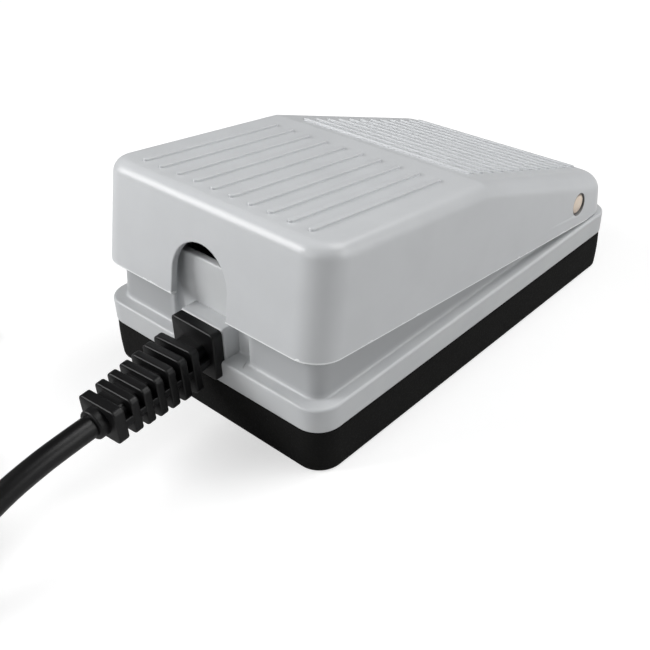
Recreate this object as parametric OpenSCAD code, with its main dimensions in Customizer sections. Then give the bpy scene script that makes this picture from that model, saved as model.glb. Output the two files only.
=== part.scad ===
// Foot switch: a pedal cover hinged over a base that holds a snap-action switch and its board,
// with a lead that ends in a plug. All lengths are in millimetres.
// Origin: middle of the pad's underside. +X is across, +Y towards the hinge, +Z up.
// The lead leaves towards -Y. The cover is drawn at rest, raised at the lead's end.

/* [Base] */
// Width of the base and its pad
base_w = 66; // [62:1:76]
// Length of the base and its pad
base_l = 110; // [106:1:124]
// Radius of the base's upright corners
base_r = 5.5; // [4:0.5:8]
// Thickness of the foam pad
pad_h = 10; // [6:0.5:14]
// Height of the base's rim above the pad
rim_h = 5.5; // [4.5:0.5:7]
// Thickness of the base's floor
floor_t = 2; // [1.5:0.1:2.5]
// Thickness of the upright wall inside the cover
wall_t = 2; // [1.6:0.1:2.4]
// Outer radius of the upright wall's corners
wall_r = 3.2; // [2.8:0.2:5]
// How far the wall's lead end leans in from its foot to its top
wall_lean = 1.1; // [0.4:0.1:1.6]

/* [Pedal cover] */
// How far the cover's lower edge stands inside the base's outline
cover_inset = 0.6; // [0.3:0.1:1.2]
// Gap from the rim to the cover's lower edge when the cover lies level
edge_gap = 0.8; // [0.6:0.1:1.5]
// Height of the cover at the lead's end
cover_front_h = 22.7; // [21:0.1:25]
// Height of the cover at the ridge between its two panels
cover_ridge_h = 21.9; // [21:0.1:24]
// Height of the sloping panel where it would meet the hinge end
cover_rear_h = 9.4; // [9:0.1:11]
// Distance from the base's lead end to the ridge
ridge_run = 51.8; // [46:0.2:56]
// Thickness of the cover's sides
cover_t = 1.5; // [1.2:0.1:2]
// Thickness of the cover's top
cover_top_t = 2.2; // [1.6:0.1:2.4]
// Radius of the cover's upright corners
cover_r = 6.5; // [5.5:0.5:8]
// Radius of the cover's top edge
edge_r = 3.2; // [2.6:0.2:4]
// Radius of the top edge over the hinge end
heel_r = 4.5; // [3.6:0.1:5]
// How far each long side leans in from bottom to top
side_lean = 0.6; // [0.2:0.1:0.8]
// How far the lead end leans in from bottom to top
front_lean = 1.8; // [0.8:0.1:2.2]
// How far the hinge end leans in from bottom to top
rear_lean = 0.4; // [0.1:0.1:0.8]
// Angle by which the cover is raised at rest
rest_tilt = 5.5; // [4.5:0.1:6]
// Angle through which the cover is pressed
press_tilt = 5; // [4:0.1:5.2]

/* [Hinge] */
// Distance from the base's hinge end to the pin's axis
pivot_run = 16; // [15:0.5:18]
// Height of the pin's axis above the rim
pivot_up = 6.5; // [6.2:0.1:6.8]
// Diameter of the hinge pin
pin_d = 5; // [4:0.1:5.2]
// Diameter of the eye sunk in the cover around each end of the pin
eye_d = 5.6; // [5.4:0.1:6.4]
// Depth of the eye
eye_depth = 0.8; // [0.4:0.1:1]
// Plastic left around the bore of each lug
lug_t = 1.4; // [1.2:0.1:1.5]

/* [Grip ribs] */
// Number of lengthwise ribs
long_ribs = 10; // [6:1:11]
// Spacing of the lengthwise ribs
long_pitch = 5.18; // [4:0.01:5.2]
// Length of the lengthwise ribs
long_len = 38.4; // [30:0.2:40]
// Number of cross ribs
cross_ribs = 12; // [8:1:12]
// Length of the cross ribs
cross_len = 48.8; // [36:0.2:52]
// Width of a rib
rib_w = 1.3; // [0.8:0.1:2]
// Height of a rib
rib_h = 0.5; // [0.3:0.1:1]
// Distance from the ridge to the lengthwise ribs
long_in = 6.1; // [4:0.1:7]
// Distance from the ridge to the first cross rib
cross_in = 4.6; // [3:0.1:6]
// Distance from the last cross rib to the panel's far end
cross_out = 5.85; // [5.6:0.05:8]

/* [Lead outlet] */
// Width of the arch in the cover over the lead
arch_w = 16; // [15:0.5:20]
// Height of the arch's straight sides
arch_side = 5.7; // [4:0.1:7]
// Width of the recess in the upright wall behind the arch
recess_w = 22; // [20:0.5:24]
// Depth of that recess
recess_d = 2; // [1.2:0.1:2.4]
// Width of the block that holds the strain relief
block_w = 12.8; // [12.8:0.1:14]
// Height of that block above the rim
block_up = 7.1; // [6:0.1:7.6]
// Width of the strain relief's flange
flange_w = 12.6; // [11.6:0.1:12.6]
// Height of the flange
flange_h = 11; // [10:0.1:12]
// Thickness of the flange
flange_t = 2.5; // [2:0.1:3]
// Number of ribs on the strain relief
relief_ribs = 6; // [4:1:6]
// Spacing of those ribs
relief_pitch = 3.14; // [3:0.02:3.3]
// Thickness of those ribs
relief_rib_t = 1.9; // [1.5:0.1:2.2]
// Length of the strain relief from the flange to its end block's face
relief_len = 25; // [24.8:0.2:28]
// Turn of the strain relief towards +X
relief_yaw = 4.5; // [3:0.5:6]
// Droop of the strain relief
relief_droop = 2; // [1:0.5:3]

/* [Lead] */
// Diameter of the lead
cable_d = 4.6; // [4.2:0.1:4.7]
// Number of turns in the lead's coil
coil_turns = 8.5; // [4.5:1:8.5]
// Radius at the middle of the coil's turns
coil_mid = 26.6; // [26:0.2:30]
// Gap between neighbouring turns
coil_gap = 0.5; // [0.45:0.01:0.6]

/* [Switch] */
// Length of the snap-action switch
switch_l = 27.8; // [27:0.1:28.4]
// Thickness of the switch
switch_w = 10.3; // [9.6:0.1:10.6]
// Height of the switch
switch_h = 15.9; // [15.4:0.1:16.1]
// Distance along the switch between its two screws
switch_screw_run = 22.2; // [20:0.1:22.4]
// Height between the switch's two screws
switch_screw_rise = 10.3; // [8:0.1:10.4]
// Diameter of the switch's plunger
plunger_d = 3; // [2.4:0.1:3.4]
// Thickness of the switch's lever
lever_t = 0.4; // [0.3:0.05:0.5]
// Width of the lever
lever_w = 4.4; // [3.6:0.1:4.6]
// Mean radius of the return springs
spring_r = 3.4; // [3.2:0.1:3.6]
// Thickness of the springs' wire
spring_wire = 0.9; // [0.7:0.1:1]
// Number of turns in a return spring
spring_turns = 6.5; // [5.5:1:7.5]

/* [Circuit board] */
// Width of the circuit board
board_w = 22; // [20:0.5:23]
// Length of the circuit board
board_l = 22; // [21:0.5:22.4]
// Thickness of the circuit board
board_t = 1.6; // [1:0.1:1.6]
// Height of the board's posts
post_h = 2.5; // [2:0.1:3]

/* [Plug] */
// Width of the plug's metal shell
shell_w = 12; // [11.8:0.1:12.4]
// Height of the plug's metal shell
shell_h = 4.5; // [4.3:0.1:4.7]
// Length of shell that shows
shell_l = 12; // [11:0.1:14]
// Width of the plug's grip
grip_w = 14.4; // [14.2:0.1:16]
// Height of the plug's grip
grip_h = 7.6; // [7.2:0.1:8.4]
// Length of the plug's grip
grip_l = 26; // [22:0.5:30]

/* [Hidden] */
$fn = 48;

// Facets of shapes that are only rounding
round_fn = 32;
// Overrun of a cut past the face that it opens
over = 1;
// Thickness of a plate that only carries a hull's outline
sheet = 0.02;
// Gap between pieces that are fitted by hand
fit_gap = 0.1;
// Gap between pieces that pass each other
pass_gap = 0.3;

// Heights and ends of the base
front_y = -base_l / 2;
rear_y = base_l / 2;
rim_z = pad_h + rim_h;
floor_z = pad_h + floor_t;

// The hinge axis
pivot_y = rear_y - pivot_run;
pivot_z = rim_z + pivot_up;
pin_run_gap = 0.05;
pin_push_gap = 0.02;
pin_recess = 0.3;
pin_dome = 0.5;
bore_r = pin_d / 2 + pin_run_gap;
lug_r = bore_r + lug_t;
lug_in = 1.5;
lug_step = 1.4;

// The cover, lying level
cover_z = rim_z + edge_gap;
cover_x = base_w / 2 - cover_inset;
cover_front = front_y + cover_inset;
cover_rear = rear_y - cover_inset;
front_top = cover_z + cover_front_h;
ridge_top = cover_z + cover_ridge_h;
rear_top = cover_z + cover_rear_h;
ridge_y = front_y + ridge_run;
top_front = cover_front + front_lean;
top_rear = cover_rear - rear_lean;
front_slope = (ridge_top - front_top) / (ridge_y - top_front - edge_r);
rear_slope = (rear_top - ridge_top) / (top_rear - ridge_y);
heel_gap = 0.4;
cross_pitch = (top_rear - ridge_y - cross_in - cross_out) / (cross_ribs - 1);

// Height of the cover's outer and inner top over a place along the level cover
function outer_z(y) = ridge_top + (y < ridge_y ? front_slope : rear_slope) * (y - ridge_y);
function under_z(y) = outer_z(y) - cover_top_t;

// Turn a [y, z] place of the level cover by an angle about the hinge: positive raises the lead's end
function raised(p, a) = [
    pivot_y + (p.x - pivot_y) * cos(a) + (p.y - pivot_z) * sin(a),
    pivot_z - (p.x - pivot_y) * sin(a) + (p.y - pivot_z) * cos(a)
];
low_tilt = rest_tilt - press_tilt;

// The upright wall, clear of the cover's inside at rest and pressed
side_gap = 0.3;
lead_gap = 0.3;
heel_room = 2.4;
wall_drop = 3;
wall_top_r = cover_r - cover_t;
wall_x = cover_x - side_lean - cover_t - side_gap;
wall_rear = cover_rear - cover_t - heel_room;
lug_l = wall_t + lug_in - lug_step;
lug_x = wall_x - lug_step - lug_l / 2;
wall_top = under_z(top_front) - wall_drop;
function skin_y(tilt) =
    let (
        low = raised([cover_front + cover_t, cover_z], tilt),
        high = raised([top_front + cover_t, front_top - cover_top_t - edge_r + cover_t], tilt)
    )
    low.x + (high.x - low.x) * (wall_top - low.y) / (high.y - low.y);
wall_front = max(skin_y(rest_tilt), skin_y(low_tilt)) + lead_gap;
wall_foot = wall_front - wall_lean;

// The block, flange and hole for the strain relief
relief_up = 0.5;
relief_z = rim_z + relief_up;
block_in = 0.9;
block_front = front_y + block_in;
recess_y = wall_foot + recess_d;
recess_r = 1.6;
recess_back = recess_y + wall_t;
recess_side = 1.5;
flange_up = 1.5;
flange_z = pad_h + flange_up;
flange_front = block_front - flange_t;
flange_r = 0.8;
neck_w = 7.6;
lip_w = 9.4;
lip_h = 2 * (relief_z - floor_z - fit_gap);
lip_t = 1.4;
neck_end = recess_back + fit_gap + lip_t;
first_rib = 5.3;
relief_w = 10.8;
relief_h = 10.4;
relief_end_w = 10.2;
relief_end_h = 7.6;
relief_r = 1.1;
core_w = 7.2;
core_h = 6;
web_w = 9.6;
web_t = 1.5;
end_t = 2.4;
collar_d = 6.2;
collar_l = 2;
relief_end = relief_len + collar_l;

// The inner end of the lead and its clamp
clamp_w = 19;
clamp_l = 3.8;
clamp_y = neck_end + pass_gap + clamp_l / 2;
clamp_t = 2.4;
clamp_lift = cable_d / 2 + clamp_t;
clamp_split = 0.4;
clamp_screw_x = 6.2;
inner_show = 1.2;
inner_end = clamp_y + clamp_l / 2 + inner_show;
small_screw_d = 2.4;
small_head_d = 4.2;
small_head_t = 1.5;
small_screw_l = 5.2;
cross_w = 0.6;
cross_share = 0.62;
cross_depth_share = 0.6;

// The circuit board and what stands on it
board_gap = 1.4;
board_front = inner_end + board_gap;
board_z = floor_z + post_h;
board_top = board_z + board_t;
board_y = board_front + board_l / 2;
board_post_d = 4.6;
post_edge = 2.5;
board_screw_l = 4;
board_holes = [
    for (x = [-1, 1]) for (y = [-1, 1])
        [x * (board_w / 2 - post_edge), board_y + y * (board_l / 2 - post_edge)]
];
chip_l = 7.4;
chip_w = 9.8;
chip_t = 1.7;
chip_in = 0.6;
chip_y = board_y + chip_in;
leg_t = 0.25;
leg_w = 0.5;
leg_out = 1;
leg_pitch = 1.27;
legs_a_side = 5;
crystal_l = 10.4;
crystal_w = 4.2;
crystal_h = 2.2;
crystal_in = 0.5;
crystal_y = board_y + board_l / 2 - crystal_in - crystal_w / 2;
can_d = 4.4;
can_h = 5;
can_in = 0.8;
can_x = -board_w / 2 + can_in + can_d / 2;
can_y = board_y - can_d / 3;
chip_cap = [2, 1.25, 0.9];
chip_cap_pitch = 3.1;
connector_w = 10.6;
connector_l = 4.6;
connector_h = 4.4;
connector_in = 0.6;
connector_y = board_front + connector_l / 2 + connector_in;
wire_d = 1.1;
lead_wire_pitch = 2;
lead_wires_n = 4;
wire_bunch_shares = [0.55, 0.8];

// The return springs, their seats on the base and their cups in the cover
spring_x = 18;
spring_run = 20;
spring_y = front_y + spring_run;
seat_d = 11;
seat_h = 7;
seat_z = floor_z + seat_h;
spigot_gap = 0.5;
spigot_d = 2 * (spring_r - spigot_gap) - spring_wire;
spigot_h = 4;
cup_y = raised([spring_y, front_top], -rest_tilt).x;
cup_gap = 0.45;
cup_d = 2 * (spring_r + cup_gap) + spring_wire;
cup_wall = 1;
cup_h = 4;
cup_seat = raised([cup_y, under_z(cup_y)], rest_tilt);
tilt_room = (spring_r + spring_wire) * tan(rest_tilt);
spring_l = cup_seat.y - tilt_room - seat_z;
spring_rings = 12;

// The stop bumpers under the pressed cover
bumper_d = 5.6;
bumper_in = 0.6;
bumper_run = 35;
bumper_x = wall_x - wall_t - bumper_in - bumper_d / 2;
bumper_y = front_y + bumper_run;
bumper_h = 3.2;
pressed_under = raised([bumper_y, under_z(bumper_y)], low_tilt).y;
bumper_z = pressed_under - pass_gap - bumper_h;

// The hooks on the cover that stop it at rest under two ledges of the base
hook_w = 6;
hook_t = 1.8;
hook_run = 7.6;
hook_y = wall_foot + hook_run;
toe_l = 2.4;
toe_h = 2.2;
ledge_up = 10.5;
ledge_z = rim_z + ledge_up;
ledge_h = 2.2;
ledge_gap = 0.7;
toe_z = raised([hook_y, ledge_z - pass_gap], -rest_tilt).y;

// The snap-action switch, its bracket and the cover's post that works it
switch_gap = 4;
switch_y = board_front + board_l + switch_gap + switch_l / 2;
switch_up = 2;
switch_z = floor_z + switch_up;
switch_top = switch_z + switch_h;
plate_gap = 0.1;
plate_t = 2;
plate_x = -switch_w / 2 - plate_gap - plate_t;
plate_l = switch_l + plate_t;
plate_h = switch_h;
gusset_share = 0.75;
gusset_l = 5;
switch_screw_d = 3;
switch_head_d = 5.4;
switch_head_t = 2;
switch_hole_gap = 0.1;
lever_in = 3;
lever_y = switch_y - switch_l / 2 + lever_in;
lever_up = 0.9;
lever_z = switch_top + lever_up;
knuckle_d = 1.6;
knuckle_gap = 0.05;
ear_t = 1.3;
ear_r = 1.7;
lever_l = 19;
post_run = 15;
post_y = lever_y + post_run;
post_r = 2.2;
post_in = 9.1;
post_dome = raised([post_y, pivot_z + post_in + post_r], rest_tilt) - [lever_y, lever_z];
lever_gap = 0.35;
lever_angle = atan2(post_dome.y, post_dome.x) - asin((post_r + lever_gap + lever_t / 2) / norm(post_dome));
plunger_run = 6;
plunger_y = lever_y + plunger_run;
plunger_gap = 0.08;
plunger_clear = 0.2;
plunger_in = 6;
plunger_travel = 1;
plunger_top = lever_z + (plunger_run - plunger_d / 2) * tan(lever_angle) - lever_t / 2 - plunger_clear;
tab_l = 5;
tab_w = 3.2;
tab_t = 0.8;
tab_pitch = 4;
tab_up = 4.5;
tab_z = switch_z + tab_up;
switch_wire_x = 5.6;
switch_wire_in = 6.9;
switch_wire_up = 2;
switch_wire_shares = [0.93, 0.46, 0.1];
tab_in = 1.5;

// The lead's route from the strain relief's end to the coil, and its coil on the floor
tie_t = 0.8;
tie_w = 5;
tie_gap = 0.3;
tie_r = 2.5;
coil_x = -30;
coil_y = -142;
coil_r = cable_d / 2;
coil_z = tie_t + tie_gap + coil_r;
coil_pitch = cable_d + coil_gap;
coil_out = coil_mid + coil_pitch * coil_turns / 4;
coil_in = coil_mid - coil_pitch * coil_turns / 4;
rings_a_turn = 24;
coil_rings = coil_turns * rings_a_turn;
cable_sides = 10;
coil_sides = 6;
wire_sides = 6;
relief_tip = [
    relief_end * cos(relief_droop) * sin(relief_yaw),
    flange_front - relief_end * cos(relief_droop) * cos(relief_yaw),
    relief_z - relief_end * sin(relief_droop)
];
lead_route = [
    [2.5, -88.5, 14.9], [3, -96, 14.3], [3.6, -104, 12.9], [4.6, -112, 10.6],
    [5.6, -120, 7.8], [6.4, -127, 5.3], [7.1, -132.2, 3.8], [7.44, -135.4, 3.4]
];
tail_route = [[-67.44, -135.6, 8.5], [-68, -130, 7.4], [-68, -123, 5.4], [-67.7, -118, 4.2], [-67.44, -114.4, 3.8]];
plug_y = -112;
neck_l = 6;
neck_d = 6.6;
shell_t = 0.3;
tongue_gap = 0.1;
tongue_w = shell_w - 2 * (shell_t + tongue_gap);
tongue_t = 1.8;
tongue_in = 0.3;
tongue_z = (grip_h - shell_h) / 2 + shell_t + tongue_gap / 2;
contacts_n = 4;
contact_w = 1;
contact_t = 0.2;
contact_pitch = 2.3;
contact_in = 2;

// Points of the coil: in towards the middle, up one layer in the half turn where it reverses, and out
function eased(u) = u < 0 ? 0 : u > 1 ? 1 : u * u * (3 - 2 * u);
function coil_point(i) =
    let (
        turn = i / rings_a_turn,
        from_mid = turn - coil_turns / 2,
        r = coil_in + coil_pitch * abs(from_mid),
        up = coil_pitch * eased(2 * from_mid + 1 / 2)
    )
    [coil_x + r * cos(-360 * turn), coil_y + r * sin(-360 * turn), coil_z + up];
coil_first = coil_point(0);
coil_last = coil_point(coil_rings);
coil_points = concat(
    [coil_first + [0, cable_d, 0]],
    [for (i = [0:coil_rings]) coil_point(i)],
    [coil_last + [0, cable_d, 0]]
);
coil_least = min([
    for (i = [0:coil_rings]) for (j = [i + rings_a_turn / 2:1:coil_rings]) norm(coil_point(i) - coil_point(j))
]) - cable_d;
echo(coil_least_gap = coil_least);

// Sweep a tube with flat ends along points that never run along the direction called lie
function unit(v) = v / norm(v);
function heading(p, i) =
    i == 0 ? unit(p[1] - p[0]) :
    i == len(p) - 1 ? unit(p[i] - p[i - 1]) :
    unit(unit(p[i + 1] - p[i]) + unit(p[i] - p[i - 1]));
function ring(c, t, r, n, lie) =
    let (side = unit(cross(t, lie)), up = cross(side, t))
    [for (k = [0:n - 1]) let (a = 360 * (k + 1 / 2) / n) c + r * (cos(a) * side + sin(a) * up)];

module tube(p, r, n, lie = [0, 0, 1]) {
    m = len(p);
    pts = [for (i = [0:m - 1]) each ring(p[i], heading(p, i), r, n, lie)];
    sides = [
        for (i = [0:m - 2]) for (k = [0:n - 1])
            let (a = i * n + k, b = i * n + (k + 1) % n)
            each [[a, b, b + n], [a, b + n, a + n]]
    ];
    ends = [
        for (k = [1:n - 2])
            each [[0, k + 1, k], [(m - 1) * n, (m - 1) * n + k, (m - 1) * n + k + 1]]
    ];
    polyhedron(points = pts, faces = concat(sides, ends), convexity = 10);
}

// A flat outline with round corners
module rounded(w, l, r) {
    square([w - 2 * r, l], center = true);
    square([w, l - 2 * r], center = true);
    for (x = [-1, 1])
        for (y = [-1, 1])
            translate([x * (w / 2 - r), y * (l / 2 - r)])
                circle(r = r, $fn = round_fn);
}

// A solid with a side outline of [y, z] points, centred across
module side_solid(points, w) {
    rotate([90, 0, 90])
        translate([0, 0, -w / 2])
            linear_extrude(w)
                polygon(points);
}

// A block given by its lowest corner and its size
module block(low, size) {
    translate(low)
        cube(size);
}

// A rod across the part, from one x to another
module cross_rod(x0, x1, y, z, r) {
    translate([x0, y, z])
        rotate([0, 90, 0])
            cylinder(h = x1 - x0, r = r);
}

// A screw that points down, with its head's underside at the origin
module screw(shank_d, shank_l, head_d, head_t) {
    translate([0, 0, -shank_l])
        cylinder(h = shank_l, d = shank_d);
    difference() {
        cylinder(h = head_t, d = head_d);
        for (a = [0, 90])
            rotate([0, 0, a])
                translate([-head_d * cross_share / 2, -cross_w / 2, head_t * (1 - cross_depth_share)])
                    cube([head_d * cross_share, cross_w, head_t]);
    }
}

// Lift what is drawn on the level cover to its rest position
module at_rest() {
    translate([0, pivot_y, pivot_z])
        rotate([-rest_tilt, 0, 0])
            translate([0, -pivot_y, -pivot_z])
                children();
}

// The strain relief's own axes: its flange's face at the origin, its length along -Y
module at_relief() {
    translate([0, flange_front, relief_z])
        rotate([relief_droop, 0, relief_yaw])
            children();
}

// Foam pad under the whole base
module foam_pad() {
    color("#191918")
        linear_extrude(pad_h)
            rounded(base_w, base_l, base_r);
}

// The upright wall's form, pulled in by a distance; its corners open out towards the top
module wall_form(in, low) {
    hull() {
        translate([0, (wall_foot + wall_rear) / 2, low])
            linear_extrude(sheet)
                rounded(2 * (wall_x - in), wall_rear - wall_foot - 2 * in, wall_r - in);
        translate([0, (wall_front + wall_rear) / 2, wall_top + over])
            linear_extrude(sheet)
                rounded(2 * (wall_x - in), wall_rear - wall_front - 2 * in, wall_top_r - in);
    }
}

// The upright wall's slanting top keeps clear of the pressed cover
module wall_outline(w) {
    side_solid([
        [front_y, pad_h], [front_y, under_z(front_y) - wall_drop], [ridge_y, under_z(ridge_y) - wall_drop],
        [rear_y, under_z(rear_y) - wall_drop], [rear_y, pad_h]
    ], w);
}

module rim_and_wall() {
    difference() {
        union() {
            translate([0, 0, pad_h])
                linear_extrude(rim_h)
                    rounded(base_w, base_l, base_r);
            intersection() {
                wall_outline(base_w);
                wall_form(0, pad_h);
            }
        }
        wall_form(wall_t, floor_z);
    }
    intersection() {
        wall_outline(base_w);
        block([-recess_w / 2 - recess_side, wall_foot + wall_t / 2, floor_z - floor_t / 2],
            [recess_w + 2 * recess_side, recess_back - wall_foot - wall_t / 2, wall_top]);
    }
}

// Posts, seats and saddles that stand on the floor inside
module floor_fittings() {
    for (p = board_holes)
        translate([p.x, p.y, floor_z - floor_t / 2])
            cylinder(h = post_h + floor_t / 2, d = board_post_d);
    for (s = [-1, 1]) {
        translate([s * spring_x, spring_y, floor_z - floor_t / 2])
            cylinder(h = seat_z - floor_z + floor_t / 2, d = seat_d);
        translate([s * spring_x, spring_y, floor_z])
            cylinder(h = seat_z - floor_z + spigot_h, d = spigot_d);
        translate([s * bumper_x, bumper_y, floor_z - floor_t / 2])
            cylinder(h = bumper_z - floor_z + floor_t / 2, d = bumper_d);
        block([s * spring_x - hook_w / 2 - pass_gap, wall_foot + wall_t / 2, ledge_z],
            [hook_w + 2 * pass_gap, hook_y - ledge_gap - wall_foot - wall_t / 2, ledge_h]);
    }
    block([-clamp_w / 2, clamp_y - clamp_l / 2, floor_z - floor_t / 2],
        [clamp_w, clamp_l, relief_z - clamp_split / 2 - floor_z + floor_t / 2]);
    block([plate_x, switch_y - plate_l / 2, floor_z - floor_t / 2], [plate_t, plate_l, plate_h + floor_t]);
    for (s = [-1, 1])
        block([plate_x, switch_y + s * (plate_l - plate_t) / 2 - plate_t / 2, floor_z - floor_t / 2],
            [-2 * plate_x, plate_t, switch_z - floor_z + floor_t / 2]);
    for (s = [-1, 1])
        translate([plate_x + plate_t / 2, switch_y + s * (plate_l / 2 - plate_t), floor_z])
            rotate([90, 0, 0])
                translate([0, 0, -plate_t / 2])
                    linear_extrude(plate_t)
                        polygon([[0, 0], [-gusset_l, 0], [0, plate_h * gusset_share]]);
}

// Base: rim, floor, upright wall, hinge lugs and the seats of everything inside
module base_housing() {
    color("#bfc2c4")
        difference() {
            union() {
                rim_and_wall();
                for (s = [-1, 1])
                    cross_rod(s * lug_x - lug_l / 2, s * lug_x + lug_l / 2, pivot_y, pivot_z, lug_r);
                block([-block_w / 2, block_front, pad_h], [block_w, recess_y - block_front, rim_h + block_up]);
                floor_fittings();
            }
            recess_cut();
            for (s = [-1, 1])
                cross_rod(s * wall_x - wall_t - lug_in - over, s * wall_x + wall_t + lug_in + over,
                    pivot_y, pivot_z, bore_r);
            block([-flange_w / 2 - fit_gap, front_y - over, flange_z - fit_gap],
                [flange_w + 2 * fit_gap, over + block_front - front_y, rim_h + block_up]);
            block([-neck_w / 2 - fit_gap, block_front - over, relief_z - neck_w / 2 - fit_gap],
                [neck_w + 2 * fit_gap, recess_back - block_front + 2 * over, neck_w + 2 * fit_gap]);
            translate([0, clamp_y - clamp_l / 2 - over, relief_z])
                rotate([-90, 0, 0])
                    cylinder(h = clamp_l + 2 * over, d = cable_d + 2 * pin_push_gap);
            for (s = [-1, 1])
                translate([s * clamp_screw_x, clamp_y, relief_z - clamp_split / 2 - small_screw_l])
                    cylinder(h = small_screw_l + over, d = small_screw_d + 2 * pin_push_gap);
            for (p = board_holes)
                translate([p.x, p.y, board_z - post_h])
                    cylinder(h = post_h + over, d = small_screw_d + 2 * pin_push_gap);
            for (s = [-1, 1])
                cross_rod(plate_x - over, plate_x + plate_t + over, switch_y + s * switch_screw_run / 2,
                    switch_z + switch_h / 2 + s * switch_screw_rise / 2, switch_screw_d / 2 + pin_push_gap);
        }
}

// The recess in the wall behind the arch, with round corners
module recess_cut() {
    difference() {
        translate([0, recess_y - recess_w / 2, rim_z])
            linear_extrude(wall_top)
                rounded(recess_w, recess_w, recess_r);
        block([-block_w / 2, block_front, pad_h], [block_w, recess_w, rim_h + block_up]);
    }
}

// The level cover's form, pulled in by a distance at its sides and its top
module cover_form(side_in, top_in, low) {
    r = cover_r - side_in;
    e = edge_r - side_in;
    h = heel_r - side_in;
    heel_z = rear_top - top_in + rear_slope * (-heel_r) - h * norm([1, rear_slope]);
    hull()
        for (s = [-1, 1]) {
            for (y = [cover_front + cover_r, cover_rear - cover_r])
                translate([s * (cover_x - cover_r), y, low])
                    cylinder(h = sheet, r = r, $fn = round_fn);
            translate([s * (cover_x - side_lean - cover_r), top_front + cover_r, front_top - top_in - e])
                corner_ring(r, e);
            translate([s * (cover_x - side_lean - edge_r), ridge_y, ridge_top - top_in - e])
                sphere(r = e, $fn = round_fn);
            translate([s * (cover_x - side_lean - cover_r), top_rear - cover_r, heel_z])
                corner_ring(r, h);
        }
}

// A round corner with a round edge, seen from above and from the side
module corner_ring(r, e) {
    rotate_extrude($fn = round_fn)
        intersection() {
            translate([r - e, 0])
                circle(r = e, $fn = round_fn);
            translate([0, -e])
                square([r, 2 * e]);
        }
}

// A raised rib with round ends that lies on a panel of the cover, centred on a place along it
module grip_rib(x, y, slope, w, l) {
    translate([x, y, outer_z(y)])
        rotate([atan(slope), 0, 0])
            translate([0, 0, -cover_top_t / 2])
                linear_extrude(cover_top_t / 2 + rib_h)
                    rounded(w, l, min(w, l) / 2 - sheet);
}

// What hangs from the cover's underside: spring cups, stop hooks and the post over the switch
module cover_fittings() {
    for (s = [-1, 1]) {
        translate([s * spring_x, cup_y, under_z(cup_y) - cup_h])
            difference() {
                cylinder(h = cup_h + cover_top_t / 2, d = cup_d + 2 * cup_wall);
                translate([0, 0, -over])
                    cylinder(h = cup_h + over, d = cup_d);
            }
        block([s * spring_x - hook_w / 2, hook_y, toe_z - toe_h],
            [hook_w, hook_t, under_z(hook_y) + cover_top_t / 2 - toe_z + toe_h]);
        block([s * spring_x - hook_w / 2, hook_y - toe_l, toe_z - toe_h], [hook_w, toe_l + hook_t / 2, toe_h]);
    }
    translate([0, post_y, pivot_z + post_in + post_r]) {
        cylinder(h = under_z(post_y) + cover_top_t / 2 - pivot_z - post_in - post_r, r = post_r);
        sphere(r = post_r);
    }
}

// Pedal cover: a thin shell with two panels of grip ribs, an arch for the lead and two pin eyes
module pedal_cover() {
    color("#c8cacb")
        difference() {
            at_rest()
                difference() {
                    union() {
                        difference() {
                            cover_form(0, 0, cover_z);
                            cover_form(cover_t, cover_top_t, cover_z - over);
                        }
                        cover_fittings();
                        for (k = [0:long_ribs - 1])
                            grip_rib((k - (long_ribs - 1) / 2) * long_pitch, ridge_y - long_len / 2 - long_in,
                                front_slope, rib_w, long_len);
                        for (k = [0:cross_ribs - 1])
                            grip_rib(0, ridge_y + cross_in + k * cross_pitch, rear_slope, cross_len, rib_w);
                    }
                    arch_cut();
                    cross_rod(-base_w, base_w, pivot_y, pivot_z, pin_d / 2 + pin_push_gap);
                    for (s = [-1, 1])
                        cross_rod(s * (eye_x() + base_w / 2) - base_w / 2, s * (eye_x() + base_w / 2) + base_w / 2,
                            pivot_y, pivot_z, eye_d / 2);
                }
            block([-base_w / 2, pivot_y, 0], [base_w, base_l, rim_z + heel_gap]);
        }
}

// How far out the eye's floor stands, on the leaning side of the cover
function side_x() = cover_x - side_lean * (pivot_z - cover_z) / (ridge_top - cover_z);
function eye_x() = side_x() - eye_depth;

// The arch over the lead, through the cover's end alone
module arch_cut() {
    translate([0, cover_front - over, cover_z + arch_side])
        rotate([-90, 0, 0])
            cylinder(h = over + front_lean + cover_t + over, d = arch_w);
    block([-arch_w / 2, cover_front - over, cover_z - over],
        [arch_w, over + front_lean + cover_t + over, arch_side + over]);
}

// Hinge pin: pushed into the cover, turning in the base's lugs, with a dome at each end
module hinge_pin() {
    half = side_x() - pin_recess;
    color("#a29a8c") {
        cross_rod(-half + pin_dome, half - pin_dome, pivot_y, pivot_z, pin_d / 2);
        for (s = [-1, 1])
            translate([s * (half - pin_dome), pivot_y, pivot_z])
                rotate([0, s * 90, 0])
                    cylinder(h = pin_dome, r1 = pin_d / 2, r2 = pin_d / 2 - pin_dome);
    }
}

// Return spring: one length of wire wound at a steady pitch
module return_spring(side) {
    n = spring_turns * spring_rings;
    rise = spring_l - spring_wire;
    color("#b8babd")
        translate([side * spring_x, spring_y, seat_z + spring_wire / 2])
            tube([
                for (i = [0:n])
                    [spring_r * cos(360 * i / spring_rings), spring_r * sin(360 * i / spring_rings), rise * i / n]
            ], spring_wire / 2, wire_sides);
}

module return_spring_left() {
    return_spring(-1);
}

module return_spring_right() {
    return_spring(1);
}

// Stop bumpers: soft caps on two posts, under the pressed cover
module stop_bumpers() {
    color("#2c2c2c")
        for (s = [-1, 1])
            translate([s * bumper_x, bumper_y, bumper_z])
                cylinder(h = bumper_h, d = bumper_d);
}

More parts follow.
